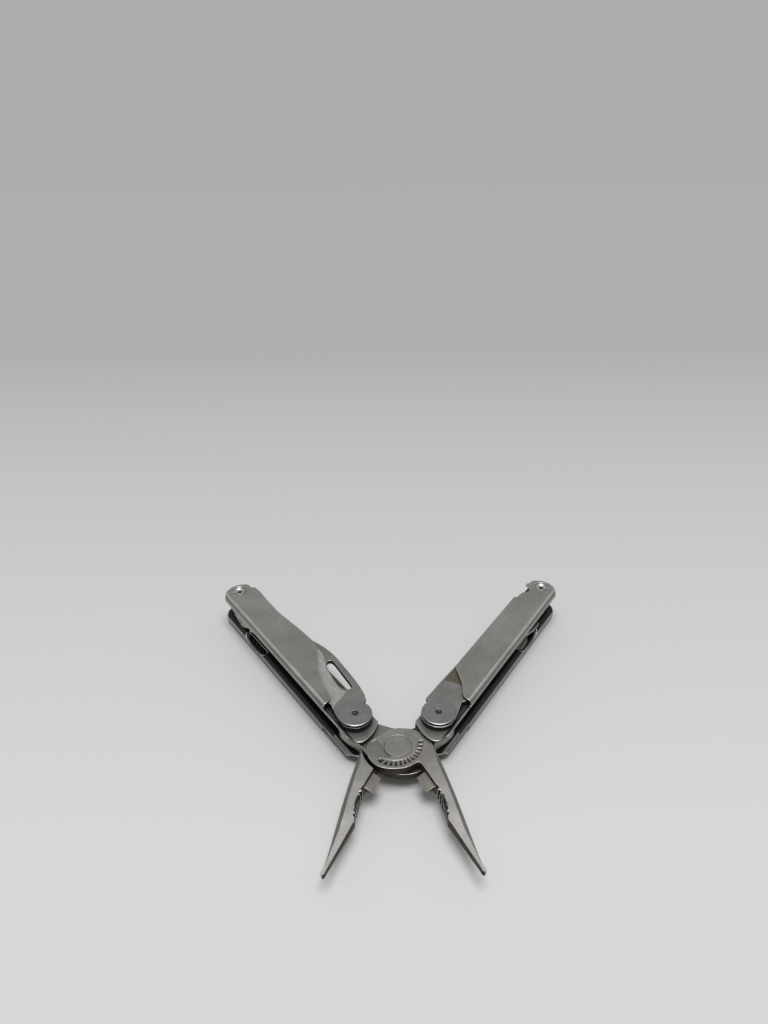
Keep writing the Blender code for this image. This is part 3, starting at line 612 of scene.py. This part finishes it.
def handle_frame(node, place, nail_side):
    """The folded sheet, trimmed and bored; nail_side is +1 for a hollow in the upper edge."""
    near, far, panel = -10.0, 93.0, 9.0
    sections = [handle_section(near, FOLD_NEAR, panel), handle_section(far, FOLD_FAR, panel)]
    mouth = CHANNEL_HALF - 0.1
    far_pivot = (HANDLE_PITCH, 0)
    cuts = [outside_panel(panel_edge_by_knife(), LIP, BEYOND),
            outside_panel(panel_edge_by_file(), -BEYOND, -LIP),
            far_end_trim(), near_end_trim(), nail_scallop(nail_side),
            box((TRIM_NEAR, -BEYOND, -mouth), (8, 3.0 - WEB_OUT, mouth)),
            bore(PIVOT_R + GAP), bore(FAR_BARREL_R + GAP, far_pivot, -FAR_SEAT, FAR_SEAT),
            bore(FAR_HEAD_R + GAP, far_pivot, FAR_SEAT, BEYOND),
            bore(FAR_HEAD_R + GAP, far_pivot, -BEYOND, -FAR_SEAT)]
    cuts += finger_slots()
    mesh = carve(coated(skin("frame", sections), "panel", "edge"), cuts)
    mesh = split_across(split_across(mesh, 0, 4), 0, 10)
    # painted shade: near-black on faces inside the channel and the blade slots, on the fold next to
    # the channel, on the cut-back fold and on the cut edge round the near pivot
    paint(mesh, "channel", inside_fold)
    paint(mesh, "channel", fold_root)
    paint(mesh, "channel", cut_back_fold(-nail_side))
    paint(mesh, "channel", near_end_cut)
    # painted highlight: the bright edge steel along the line where each panel starts to fold
    paint(mesh, "edge", painted_fold_highlight)
    # painted shade: near-black on the panel's cut edge beside its blade
    paint(mesh, "groove", panel_cut)
    add_piece(node, mesh, place, 0.2, 3)


# ---- outer blades ----

TANG_R = 6.25           # round tang of an outer blade


def blade_tang():
    """The round tang and the small notch behind the edge, from the spine's corner to the edge."""
    notch = curve([(1.6, 6.0), (5.0, 5.3), (8.3, 4.5), (9.8, 4.2), (10.9, 4.9), (12.2, 5.6)], 2)
    return [(4.2, -7.7)] + arc(0, 0, TANG_R, 297, 104, 14) + notch


def knife_back():
    """Spine of a blade with a thumb hole, from the tip back to the corner."""
    return curve([(80.5, -1.6), (72, -3.2), (62, -4.8), (53, -6.6), (46, -8.3), (40.5, -9.7),
                  (36.2, -10.7), (30.6, -11.2), (24.1, -10.9), (12.8, -9.9), (6.2, -8.6)], 2)


def thumb_hole():
    """The long thumb hole, flared at both faces, its walls in painted shade."""
    loop = [(28.7, -6.5), (29.1, -7.9), (27.5, -8.8), (20, -8.1), (13.2, -7.3), (12.0, -6.2),
            (12.4, -4.8), (14.4, -3.5), (18.4, -3.7), (23.2, -4.6), (26.9, -5.5)]
    outline = curve(loop + loop[:1], 2)[:-1]
    flare = 0.14
    wide = inset(outline, [-flare] * len(outline))
    wider = inset(outline, [-5 * flare] * len(outline))
    rings = [(wider, BLADE_LOW - 4 * flare), (wide, BLADE_LOW), (outline, BLADE_LOW + flare),
             (outline, BLADE_HIGH - flare), (wide, BLADE_HIGH), (wider, BLADE_HIGH + 4 * flare)]
    return coated(stacked("thumb_hole", rings), "recess")


def shallow(outline, face, depth, slope):
    """A cutter that sinks a region of a face by a little, with a sloped border."""
    inner = inset(outline, [slope] * len(outline))
    side = 1 if face > (BLADE_LOW + BLADE_HIGH) / 2 else -1
    return stacked("shallow", [(inner, face - side * depth), (outline, face),
                               (outline, face + side)])


def ground_region():
    """The ground flat of a knife, from the plunge line near the pivot to the tip."""
    plunge = curve([(7.0, 4.6), (8.8, 2.1), (9.9, -1.2), (11.3, -3.6)], 3)
    along = curve([(13.8, -2.9), (18.2, -3.1), (23.0, -4.0), (27.0, -5.0), (31.5, -7.2),
                   (37.0, -8.1), (45.0, -6.6), (52, -5.0), (62, -3.2), (72, -1.6), (84, 0.6)], 2)
    return plunge + along + [(84, 9), (7.0, 9)]


def blade_solid(outline, smooth, grind):
    """An outer blade. grind is the width of the ground bevel at each point of the smooth outline."""
    middle = (BLADE_LOW + BLADE_HIGH) / 2
    flat = inset(smooth, grind)
    keen = 0.07
    return stacked("blade", [(flat, BLADE_LOW), (outline, middle - keen),
                             (outline, middle + keen), (flat, BLADE_HIGH)])


def square_solid(outline):
    """An outer blade that isn't ground, with a slight rim."""
    rim = 0.12
    small = inset(outline, [rim] * len(outline))
    return stacked("blade", [(small, BLADE_LOW), (outline, BLADE_LOW + rim),
                             (outline, BLADE_HIGH - rim), (small, BLADE_HIGH)])


def tang_side(centre, normal):
    """Whether a face is on the side of a blade's round tang, which gets painted shade."""
    return centre.x < 11 and abs(normal.z) < 0.5


def knife(node, place, edge, smooth_edge, widest):
    """A knife blade; smooth_edge is its edge without any serrations, point for point."""
    tang, back = blade_tang(), knife_back()
    tip = back[0][0]
    grind = [0.12] * len(tang) + [min(widest, 0.13 * (tip - x)) for x, _ in edge]
    grind += [0.12] * len(back)
    solid = blade_solid(tang + edge + back, tang + smooth_edge + back, grind)
    body = coated(solid, "blade", "edge")
    region = ground_region()
    sunk = [coated(shallow(region, face, 0.1, 0.35), "ground") for face in (BLADE_LOW, BLADE_HIGH)]
    mesh = carve(body, sunk + [thumb_hole(), bore(PIVOT_R + GAP)])
    paint(mesh, "channel", tang_side)
    add_piece(node, mesh, place, 0.05)


def plain_edge():
    return curve([(20, 5.8), (40, 5.6), (55, 5.2), (66, 4.0), (75, 1.4)], 4)


def serrated_edge(depth):
    """Scallops of a depth between points, then a short plain belly to the tip."""
    pitch, count, steps = 4.0, 11, 12
    scallops = []
    for i in range(count):
        start = 16 + i * pitch
        scallops += [(start + pitch * k / steps, 5.6 - depth * math.sin(math.pi * k / steps))
                     for k in range(steps)]
    return scallops + curve([(60, 5.6), (64, 5.4), (68, 4.3), (75, 1.4)], 3)


def straight_back():
    """Square end and straight spine of the file and of the saw."""
    return [(81.0, 4.8), (82.0, 3.9), (82.0, -4.6), (81.0, -5.8), (40, -6.5), (26, -7.1),
            (15, -7.5)]


def mirrored(mesh):
    """The mesh with its two sides swapped, for a blade that opens the other way."""
    mesh.transform(Matrix.Scale(-1, 4, (0, 1, 0)))
    mesh.flip_normals()
    return mesh


def saw(node, place):
    """Cross-cut teeth, each ground to a point on alternate sides."""
    pitch, count = 2.6, 24
    teeth = [(15 + (i + share) * pitch, 5.5 - 0.01 * i * pitch - depth) for i in range(count)
             for share, depth in ((0.0, 1.3), (0.12, 1.3), (0.5, 0.0), (0.56, 0.05))]
    outline = blade_tang() + teeth + [(78.5, 4.6)] + straight_back()
    mesh = carve(coated(square_solid(outline), "blade", "edge"), [bore(PIVOT_R + GAP)])
    paint(mesh, "ground", lambda c, n: c.y > 3.6 and c.x > 15 and abs(n.z) < 0.9)
    paint(mesh, "channel", tang_side)
    add_piece(node, mirrored(mesh), place, 0.05)


def file_teeth():
    """The cut faces of the file: two crossing rows of teeth, a little proud of the blade."""
    start, stop, high = 16.9, 80.8, 4.5
    low_at_end, spread_back = -5.45, 0.0225
    pitch, depth, step = 0.85, 0.13, 0.2
    columns = int((stop - start) / step)
    rows = int((high - low_at_end) / step)

    def height(u, v):
        first = ((u + 0.6 * v) / pitch) % 1
        second = ((u - 0.9 * v) / (1.3 * pitch)) % 1
        return depth * (0.5 * first + 0.5 * second)

    bm = bmesh.new()
    faces = []
    for side in (1, -1):
        grid = []
        for i in range(columns + 1):
            line = []
            for j in range(rows + 1):
                low = low_at_end - spread_back * (stop - start) * (1 - i / columns)
                v = low + (high - low) * j / rows
                begin = start + 0.2 * v
                u = begin + (stop - begin) * i / columns
                border = i in (0, columns) or j in (0, rows)
                rise = 0.0 if border else height(u, v)
                middle = (BLADE_LOW + BLADE_HIGH) / 2
                z = middle + side * ((BLADE_HIGH - BLADE_LOW) / 2 - 0.02 + rise)
                line.append(bm.verts.new((u * MM, v * MM, z * MM)))
            grid.append(line)
        faces.append(grid)
        for a, b in zip(grid, grid[1:]):
            for j in range(rows):
                bm.faces.new((a[j], b[j], b[j + 1], a[j + 1]))
    top, under = faces
    rim = [(i, 0) for i in range(columns)] + [(columns, j) for j in range(rows)]
    rim += [(i, rows) for i in range(columns, 0, -1)] + [(0, j) for j in range(rows, 0, -1)]
    for (i, j), (k, m) in zip(rim, rim[1:] + rim[:1]):
        bm.faces.new((top[i][j], under[i][j], under[k][m], top[k][m]))
    return closed_mesh("file_teeth", bm)


def file(node, place):
    outline = blade_tang() + straight_back()
    body = coated(square_solid(outline), "blade", "edge")
    mesh = paint(carve(body, [bore(PIVOT_R + GAP)]), "channel", tang_side)
    add_piece(node, mirrored(mesh), place, 0.07)
    teeth = link("file_cut_faces", coated(mirrored(file_teeth()), "file"))
    teeth.matrix_world = place
    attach(teeth, frame["nodes"][node]["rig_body"])


# ---- tools on the far pivot ----

FAR_TANG_R = 4.2
LAYER_TOP = (1.2, 2.8)          # lower and upper faces of the tools in the left handle
LAYER_MID = (-0.8, 0.8)
LAYER_LOW = (-2.8, -1.2)
MEDIUM_LAYER = (1.35, 2.8)      # and of those in the right handle
SMALL_LAYER = (-0.1, 1.1)
FIXED_LAYER = (-1.5, -0.4)
LEVER_LAYER = (-2.8, -1.8)
LEAF_LAYER = (-2.7, -1.9)


def far_tang(top, bottom):
    """Round end of a small tool round its pivot."""
    return [bottom] + arc(0, 0, FAR_TANG_R, -90, 90, 12) + [top]


def can_opener_outline():
    back = curve([(-7, 5.5), (-17.0, 5.7), (-21, 5.1), (-24.6, 3.2), (-25.4, 1.2)], 2)
    back += curve([(-24.6, 1.3), (-22.6, 1.6), (-21.2, 0.6), (-21.0, -0.8), (-22.6, -1.2)], 2)
    back += curve([(-25.2, -1.6), (-25.6, -3.0), (-24.2, -4.4), (-18, -4.6), (-12, -4.6)], 2)
    return far_tang((-2, 4.6), (-3, -4.5)) + back


def large_driver_outline():
    back = [(-7, 5.3)] + curve([(-14.5, 5.5), (-15.6, 4.7), (-16.5, 4.4), (-17.4, 4.7),
                                (-18.2, 5.2), (-21.5, 3.2), (-24, 0.9)], 2)
    return far_tang((-2, 4.6), (-3, -4.5)) + back + [(-40, 0.5), (-43.5, 0.4), (-43.5, -4.4),
                                                     (-24, -4.5)]


def phillips_outline():
    back = curve([(-7, 5.2), (-12, 5.2), (-17, 2.0), (-21, -0.6)], 2)
    back += [(-37, -0.7), (-40.0, -1.8), (-41.2, -2.6), (-40.0, -3.4), (-37, -4.5), (-20, -4.5)]
    return far_tang((-2, 4.6), (-3, -4.5)) + back


def driver_outline(width, reach, shoulder):
    """A flat screwdriver whose tip is as wide as given."""
    low = -4.5
    back = [(-6, 5.0)] + curve([(-shoulder, 4.8), (-shoulder - 1.8, 0.6 * (4.8 + low + width)),
                                (-shoulder - 4, low + width)], 2)
    return far_tang((-2, 4.6), (-3, low)) + back + [(-reach, low + width - 0.2),
                                                    (-reach, low + 0.1), (-shoulder, low)]


SCISSOR_RIVET = (-27.0, 0.3)
SCISSOR_RIVET_R = 1.5


def scissor_fixed_outline():
    """Tang, arm along the web, and the fixed blade on the open side of the channel."""
    blade = curve([(-29.6, 2.4), (-33, 2.6), (-37, 1.9), (-42.0, 0.6)], 2)
    return (far_tang((-2.6, 4.4), (-3, -4.5)) + [(-6.5, 2.2), (-9.5, -0.6), (-23.5, -0.9),
                                                (-25.6, 2.6)]
            + blade + [(-42.3, 0.2), (-31.0, 0.1), (-29.0, -2.4), (-25.0, -4.3)])


def scissor_lever_outline():
    """The sprung lever, about its rivet: thumb arm towards +X, blade towards -X."""
    arm_out = curve([(2.0, 2.4), (6, 3.3), (11, 3.3), (15.0, 2.5)], 2)
    arm_in = curve([(15.2, 1.3), (11, 1.8), (6.5, 1.3), (3.4, -0.6)], 2)
    blade = curve([(0.8, -2.7), (-5, -2.6), (-9.5, -1.6), (-14.5, -0.2)], 2)
    return arm_out + arm_in + blade + [(-14.9, 0.2), (-3.2, 0.2), (-1.6, 2.0)]


def spring_outline():
    """A bent leaf between the fixed arm and the lever, in the frame of the far pivot."""
    spine = curve([(-21.0, -3.4), (-15.0, -3.3), (-10.8, -2.4), (-9.8, -0.4), (-11.6, 1.5),
                   (-16.0, 2.5)], 3)
    out, back = [], []
    for i, here in enumerate(spine):
        run = Vector(spine[min(i + 1, len(spine) - 1)]) - Vector(spine[max(i - 1, 0)])
        side = Vector((-run.y, run.x)).normalized() * 0.3
        out.append((here[0] + side.x, here[1] + side.y))
        back.append((here[0] - side.x, here[1] - side.y))
    return out + back[::-1]


def far_tool(node, place, outline, layer, over=False, cuts=()):
    """A flat tool on the far pivot; over turns its outline over."""
    low, high = layer
    shape = turned_over(outline) if over else outline
    body = coated(plate(node, shape, low, high), "tool", "edge")
    mesh = carve(body, [bore(FAR_BARREL_R + GAP)] + list(cuts))
    add_piece(node, mesh, place @ shift(HANDLE_PITCH, 0), 0.09)


# ---- fasteners ----

def star(radius, z0, z1, at=(0, 0)):
    """Six-lobed recess with soft lobes, in painted shade."""
    around = [2 * math.pi * i / 48 for i in range(48)]
    wave = [radius * (0.89 + 0.11 * math.cos(6 * t)) for t in around]
    outline = [(at[0] + r * math.cos(t), at[1] + r * math.sin(t)) for r, t in zip(wave, around)]
    return coated(plate("star", outline, z0, z1), "recess")


def pivot_fasteners(side, place):
    """Broad flat head and shank above, matching head with the barrel below."""
    top = HALF_THICK - 0.05
    head = [(CAP_R - 0.42, top), (CAP_R - 0.12, top - 0.1), (CAP_R - 0.02, top - 0.24),
            (CAP_R, top - 0.4), (CAP_R, BLADE_HIGH + GAP)]
    star_r, star_deep, screw_end, bore_end = 1.35, 0.7, -5.0, -5.3
    screw = spun("screw", head + [(SHANK_R, BLADE_HIGH + GAP), (SHANK_R, screw_end)])
    screw = carve(coated(screw, "cap", "edge"), [star(star_r, top - star_deep, top + 1)])
    # painted shade: the side of the head takes the near-black steel
    paint(screw, "channel", lambda c, n: abs(n.z) < 0.2)
    add_piece(side + "_pivot_screw", screw, place, 0.06)
    barrel = [(PIVOT_R, -BLADE_HIGH - GAP), (PIVOT_R, BLADE_HIGH), (BARREL_BORE_R, BLADE_HIGH),
              (BARREL_BORE_R, bore_end)]
    nut = spun("nut", [(r, -z) for r, z in head] + barrel)
    nut = carve(coated(nut, "cap", "edge"), [star(star_r, -top - 1, -top + star_deep)])
    # painted shade: the side of the head takes the near-black steel
    paint(nut, "channel", lambda c, n: abs(n.z) < 0.2)
    add_piece(side + "_pivot_nut", nut, place, 0.06)


def far_fasteners(side, place):
    """Small dished head and shank above, matching head with the barrel below."""
    top = HALF_THICK - 0.1
    head = [(1.45, top - 0.55), (1.95, top - 0.38), (2.3, top - 0.12), (2.42, top - 0.02),
            (2.52, top - 0.06), (FAR_HEAD_R, top - 0.3)]
    star_r, star_deep, screw_end, barrel_top, bore_end = 1.2, 0.8, -4.8, 5.6, -5.1
    screw = spun("screw", head + [(FAR_HEAD_R, FAR_HEAD_UNDER), (FAR_SHANK_R, FAR_HEAD_UNDER),
                                  (FAR_SHANK_R, screw_end)])
    screw = carve(coated(screw, "screw", "edge"), [star(star_r, top - star_deep, top + 1)])
    at = place @ shift(HANDLE_PITCH, 0)
    add_piece(side + "_far_screw", screw, at, 0.05)
    barrel = [(FAR_HEAD_R, -FAR_HEAD_UNDER), (FAR_BARREL_R, -FAR_HEAD_UNDER),
              (FAR_BARREL_R, barrel_top), (FAR_BARREL_BORE_R, barrel_top),
              (FAR_BARREL_BORE_R, bore_end)]
    nut = spun("nut", [(r, -z) for r, z in head] + barrel)
    add_piece(side + "_far_nut", coated(nut, "screw", "edge"), at, 0.05)


# ---- pliers ----

def near_pivot_point():
    angle = math.radians(TANG_ANGLE)
    return -TANG_REACH * math.sin(angle), TANG_REACH * math.cos(angle)


def gripping_teeth():
    """Coarse teeth along a hollow, from near the tip towards the rivet."""
    count, first, last = 7, -31.6, -20.4
    pitch = (last - first) / count
    teeth = []
    for i in range(count):
        share = (i + 0.5) / count
        hollow = 1.0 + 2.4 * math.sin(math.pi / 2 * share)
        y = first + pitch * i
        teeth += [(hollow - 0.7, y + 0.15 * pitch), (hollow - 0.66, y + 0.25 * pitch),
                  (hollow + 0.4, y + 0.7 * pitch), (hollow + 0.35, y + 0.8 * pitch)]
    return teeth


def fine_teeth():
    """Shallow serrations along the flat part of the jaw, from the tip to the hollow."""
    start, stop, pitch = -50.6, -34.0, 0.65
    count = int((stop - start) / pitch)
    return [(FACE + depth, start + (i + share) * pitch) for i in range(count)
            for share, depth in ((0.0, 0.0), (0.5, 0.08))]


def boss_edge():
    """Edge of the boss, from the crotch of the jaw round the far side to the top of the shoulder."""
    return curve([(3.3, -10.4), (2.6, -9.3), (-0.1, -9.5), (-2.9, -9.2), (-6.1, -7.9), (-8.7, -6.1),
                  (-10.5, -4.0), (-11.3, -1.1), (-11.2, 1.2), (-10.5, 3.0), (-9.3, 5.1),
                  (-7.7, 6.4), (-4.9, 7.2), (-1.5, 7.7), (1.3, 7.8), (3.5, 7.4), (5.7, 6.3)], 2)


def jaw_outline():
    outer = curve([(8.3, 4.5), (10.2, 1.5), (11.1, -1.5), (11.3, -4.2), (10.9, -6.9),
                   (10.1, -11.5), (9.0, -17.4), (7.4, -25.0), (5.4, -33.4), (3.2, -42.4),
                   (1.8, -48.6), (1.5, -50.9)], 2)
    tip = arc(0.82, -JAW_TIP + 0.7, 0.7, 0, -180, 3)
    inner = fine_teeth() + [(FACE, -33.6), (FACE, -32.4)] + gripping_teeth() + [(3.4, -19.8)]
    return outer + tip + inner + boss_edge()


def tang_outline():
    px, py = near_pivot_point()
    end = arc(px, py, 6.0, 200, -22, 16)
    outer = curve([(-9.5, -2.0), (-10.9, 1.2), (-11.1, 4.6), (-11.1, 6.6), (-11.8, 9.2),
                   (-13.1, 12.2)], 2)
    return outer + end + curve([(-1.3, 12.9), (0.2, 11.2), (1.9, 9.2), (3.4, 7.2), (2.0, 3.0),
                                (-4.0, -3.0)], 2)


def wire_cutter():
    """A wedge whose edge lies on the mid plane of the jaw."""
    root, shoulder, high, land = 4.2, 3.0, 1.2, 0.12
    upper = [(root, high), (shoulder, high), (FACE, land)]
    profile = upper + [(x, -z) for x, z in reversed(upper)]
    return skin("wire_cutter", [[(x, y, z) for x, z in profile] for y in (-12.7, -19.3)])


def jaw_chamfers(outline):
    """Broad chamfer on the outer side of the jaw, fading to the boss and the tip."""
    widths = []
    for x, y in outline:
        outer_side = x > 0.6 + 0.19 * (y + 51)
        fade = min(1.0, max(0.0, (y + 51) / 14), max(0.0, (-4 - y) / 8))
        widths.append(0.15 + 1.25 * fade if outer_side else 0.15)
    return widths


def groove_with_ribs():
    """Shallow curved recess along the rim of the boss, with small plain ribs left standing."""
    outer = curve([(-9.1, -2.0), (-8.6, -4.0), (-6.3, -6.4), (-3.6, -7.7), (0.1, -8.1), (3.3, -7.4),
                   (6.2, -5.7), (8.4, -3.1), (8.8, -1.7)])
    inner = curve([(7.5, -1.2), (6.6, -2.0), (5.3, -3.6), (3.3, -5.1), (0.3, -6.0), (-2.4, -5.6),
                   (-5.4, -4.1), (-7.4, -1.9)])
    floor = JAW_HALF - 0.35
    # painted shade: the groove's floor takes near-black steel
    groove = coated(plate("groove", outer + inner, floor, JAW_HALF + 1), "groove")
    ribs = []
    count, first, step, near, far, half = 12, 206, 12.2, 5.6, 9.8, 0.28
    for i in range(count):
        angle = math.radians(first + step * i)
        out = Vector((math.cos(angle), math.sin(angle)))
        side = Vector((-out.y, out.x)) * half
        corners = [out * near - side, out * far - side, out * far + side, out * near + side]
        ribs.append(coated(plate("rib", [tuple(c) for c in corners], floor - 1, floor + 0.28),
                           "plier"))
    return carve(groove, ribs)


def strap_pocket():
    """Shallow pocket that leaves a raised strap across the boss; its faces take the painted shade."""
    outline = curve([(-5.5, 6.3), (-4.9, 2.3), (-4.8, -0.6), (-4.2, -3.2)]) + curve(
        [(-6.6, -2.6), (-8.4, -0.6), (-10.3, 0.4), (-10.2, 2.4), (-9.0, 4.8), (-7.6, 6.0)])
    return coated(plate("strap_pocket", outline, JAW_HALF - 0.4, JAW_HALF + 1), "boss")


def taper_jaw(mesh):
    """Thins the jaw evenly from the wire cutter to the tip."""
    split_across(mesh, 1, -TAPER_FROM)
    slope = (JAW_HALF - TIP_HALF) / (JAW_TIP - TAPER_FROM)
    for v in mesh.vertices:
        v.co.z -= math.copysign(slope * max(0.0, -TAPER_FROM * MM - v.co.y), v.co.z)
    return mesh


def gripping_face(centre, normal):
    """Whether a face is one of those that meet between the jaws, the wire cutter left out."""
    behind_cutter = -20.5 < centre.y < -10.5 and normal.x < -0.9 and centre.x > 2.6
    return behind_cutter or (centre.y < -20.4 and normal.x < -0.25 and centre.x < 4.4)


def boss_side(centre, normal):
    """Whether a face is on the upright side of the boss, or on the face where the halves lap."""
    rim = math.hypot(centre.x, centre.y) > 8
    lap = abs(centre.z) < 0.3 and normal.z < -0.9
    return lap or (rim and -12 < centre.y < 3 and abs(normal.z) < 0.5)


def outer_chamfer(centre, normal):
    """Whether a face is on the broad chamfer along the outer side of the jaw."""
    return centre.y < -6 and normal.x > 0.3 and 0.4 < abs(normal.z) < 0.97


def plier_half(node, place):
    """Jaw, boss and tang in one, cut back to its own side of the lap."""
    outline = jaw_outline()
    body = taper_jaw(plate(node, outline, -JAW_HALF, JAW_HALF, jaw_chamfers(outline), 0.8))
    joins = [plate("tang", tang_outline(), -TANG_HALF, TANG_HALF, 0.2),
             coated(wire_cutter(), "cutter")]
    px, py = near_pivot_point()
    cuts = [spun("lap", [(LAP_R, -BEYOND), (LAP_R, FACE)]), groove_with_ribs(), strap_pocket(),
            bore(RIVET_SHANK_R + GAP), bore(RIVET_R + GAP, (0, 0), SEAT_FLOOR),
            bore(PIVOT_R + GAP, (px, py))]
    mesh = carve(coated(body, "plier", "edge"), cuts, joins)
    groove = mesh.materials.find(FINISH["groove"].name)
    in_groove = [face for face in mesh.polygons if face.material_index == groove]
    # painted shade: recessed upward faces of the boss take a darker copy of the plier steel
    paint(mesh, "boss", lambda c, n: c.z < JAW_HALF - 0.2 and c.y > -10.5 and n.z > 0.9)
    # painted shade: the outer chamfer takes a darker copy of the plier steel
    paint(mesh, "chamfer", outer_chamfer)
    # dark-brown gripping steel between the jaws, and as painted shade on the upright side of the boss
    paint(mesh, "grip_and_shade", gripping_face)
    paint(mesh, "grip_and_shade", boss_side)
    for face in in_groove:
        face.material_index = groove
    add_piece(node, mesh, place, 0.09, 3)


def plier_rivet():
    """A broad, nearly flat head above and below, about level with the boss."""
    head = JAW_HALF + 0.1
    head_under = SEAT_FLOOR + GAP
    rim = RIVET_R + GAP - 0.07
    upper = [(1.2, head - 0.12), (2.6, head - 0.08), (rim - 0.5, head - 0.06),
             (rim - 0.12, head - 0.1), (rim, head - 0.2), (rim, head_under),
             (RIVET_SHANK_R, head_under)]
    profile = upper + [(r, -z) for r, z in reversed(upper)]
    add_piece("plier_rivet", coated(spun("rivet", profile), "plier", "edge"),
              Matrix.Translation(RIVET), 0)


# ---- assembly ----

def build_handles():
    handle_frame("left_handle_frame", LEFT, -1)
    handle_frame("right_handle_frame", RIGHT @ OVER, 1)
    for side, place in (("left", LEFT), ("right", RIGHT)):
        pivot_fasteners(side, place)
        far_fasteners(side, place)


def build_blades():
    knife("knife_blade", LEFT, plain_edge(), plain_edge(), 4.5)
    saw("saw_blade", LEFT @ OVER)
    file("file_blade", RIGHT)
    knife("serrated_blade", RIGHT @ OVER, serrated_edge(0.8), serrated_edge(0.0), 3.2)


def build_left_tools():
    far_tool("can_opener", LEFT, can_opener_outline(), LAYER_TOP)
    far_tool("large_screwdriver", LEFT, large_driver_outline(), LAYER_MID)
    far_tool("phillips_driver", LEFT, phillips_outline(), LAYER_LOW)


def build_scissors():
    rx, ry = SCISSOR_RIVET
    hole = bore(SCISSOR_RIVET_R + GAP, (rx, -ry))
    far_tool("scissors_fixed_blade", RIGHT, scissor_fixed_outline(), FIXED_LAYER, True, [hole])
    at = RIGHT @ shift(HANDLE_PITCH + rx, -ry)
    lever = plate("lever", turned_over(scissor_lever_outline()), *LEVER_LAYER)
    lever = carve(coated(lever, "tool", "edge"), [bore(SCISSOR_RIVET_R + GAP)])
    add_piece("scissors_lever", lever, at @ turn(-LEVER_SPRUNG), 0.09)
    rivet = coated(spun("rivet", [(SCISSOR_RIVET_R, -2.9), (SCISSOR_RIVET_R, -0.35)]),
                   "screw", "edge")
    add_piece("scissors_rivet", rivet, at, 0.15, 3)
    leaf = coated(plate("leaf", turned_over(spring_outline()), *LEAF_LAYER), "spring", "edge")
    add_piece("scissors_spring", leaf, RIGHT @ shift(HANDLE_PITCH, 0), 0.08)


def build_right_tools():
    far_tool("medium_screwdriver", RIGHT, driver_outline(4.4, 40, 16), MEDIUM_LAYER, True)
    far_tool("small_screwdriver", RIGHT, driver_outline(2.8, 36, 13), SMALL_LAYER, True)
    build_scissors()


def build_pliers():
    at = Matrix.Translation(RIVET)
    plier_half("plier_jaw_upper", at @ turn(JAW_OPEN))
    plier_half("plier_jaw_lower", at @ turn(180 - JAW_OPEN) @ OVER)
    plier_rivet()


# ---- floor, light and camera ----

def pale_floor():
    """A pale table top with painted shade: its colour darkens a little towards the back, where it
    sweeps up.
    """
    reach, sweep, rise = 4.0, 1.2, 0.7
    mesh = bpy.data.meshes.new("floor")
    rows = [(-reach, 0), (sweep, 0), (reach, rise)]
    mesh.from_pydata([(x, y, z) for y, z in rows for x in (-reach, reach)], [],
                     [(0, 1, 3, 2), (2, 3, 5, 4)])
    floor = link("floor", mesh)
    mat = bpy.data.materials.new("pale_floor")
    mat.use_nodes = True
    tree = mat.node_tree
    shader = tree.nodes["Principled BSDF"]
    shader.inputs["Roughness"].default_value = 0.6
    shader.inputs["Specular IOR Level"].default_value = 0.25
    place = tree.nodes.new("ShaderNodeTexCoord").outputs["Object"]
    back = coordinates(tree, place)["Y"]
    ramp = tree.nodes.new("ShaderNodeValToRGB")
    near_end, back_end = ramp.color_ramp.elements
    near_end.color, back_end.color = (0.755, 0.76, 0.755, 1), (0.475, 0.48, 0.475, 1)
    tree.links.new(spread(tree, back, -0.05, 0.40, 0.0, 1.0), ramp.inputs["Fac"])
    tree.links.new(ramp.outputs["Color"], shader.inputs["Base Color"])
    mesh.materials.append(mat)


def room_light():
    """Soft light from the room: even at the back and above, dim in front."""
    world = bpy.data.worlds.new("room")
    bpy.context.scene.world = world
    world.use_nodes = True
    tree = world.node_tree
    place = tree.nodes.new("ShaderNodeTexCoord").outputs["Generated"]
    direction = coordinates(tree, place)
    back = calculate(tree, "MULTIPLY", spread(tree, direction["Y"], -0.55, 0.25, 0.0, 1.0),
                     spread(tree, direction["Z"], 0.0, 0.4, 0.2, 1.0))
    above = spread(tree, direction["Z"], 0.55, 0.85, 0.0, 1.0)
    ramp = tree.nodes.new("ShaderNodeValToRGB")
    dim, bright = ramp.color_ramp.elements
    dim.color, bright.color = (0.10, 0.10, 0.105, 1), (0.43, 0.435, 0.43, 1)
    tree.links.new(calculate(tree, "MAXIMUM", back, above), ramp.inputs["Fac"])
    tree.links.new(ramp.outputs["Color"], tree.nodes["Background"].inputs["Color"])


def studio():
    pale_floor()
    room_light()
    light = bpy.data.lights.new("overhead_light", "SUN")
    light.energy = 1.72
    light.angle = math.radians(36)
    overhead = bpy.data.objects.new("overhead_light", light)
    overhead.rotation_euler = (math.radians(3), math.radians(2), 0)
    bpy.context.scene.collection.objects.link(overhead)
    bpy.context.scene.view_settings.view_transform = "Standard"


def camera():
    """The camera stands low in front of the jaws and looks down at them."""
    aside_of_rivet, before_rivet, height = -0.0088, 0.18375, 0.2166
    down, aside = math.radians(31.44), 0.0218
    data = bpy.data.cameras.new("camera")
    data.sensor_width = 36.0
    data.lens = 27.07
    data.clip_start = 0.01
    ob = bpy.data.objects.new("camera", data)
    ob.location = (RIVET.x + aside_of_rivet, RIVET.y - before_rivet, height)
    look = Vector((aside * math.cos(down), math.cos(down), -math.sin(down)))
    ob.rotation_euler = look.to_track_quat("-Z", "Y").to_euler()
    bpy.context.scene.collection.objects.link(ob)
    bpy.context.scene.camera = ob


camera()
studio()
build_handles()
build_blades()
build_left_tools()
build_right_tools()
build_pliers()
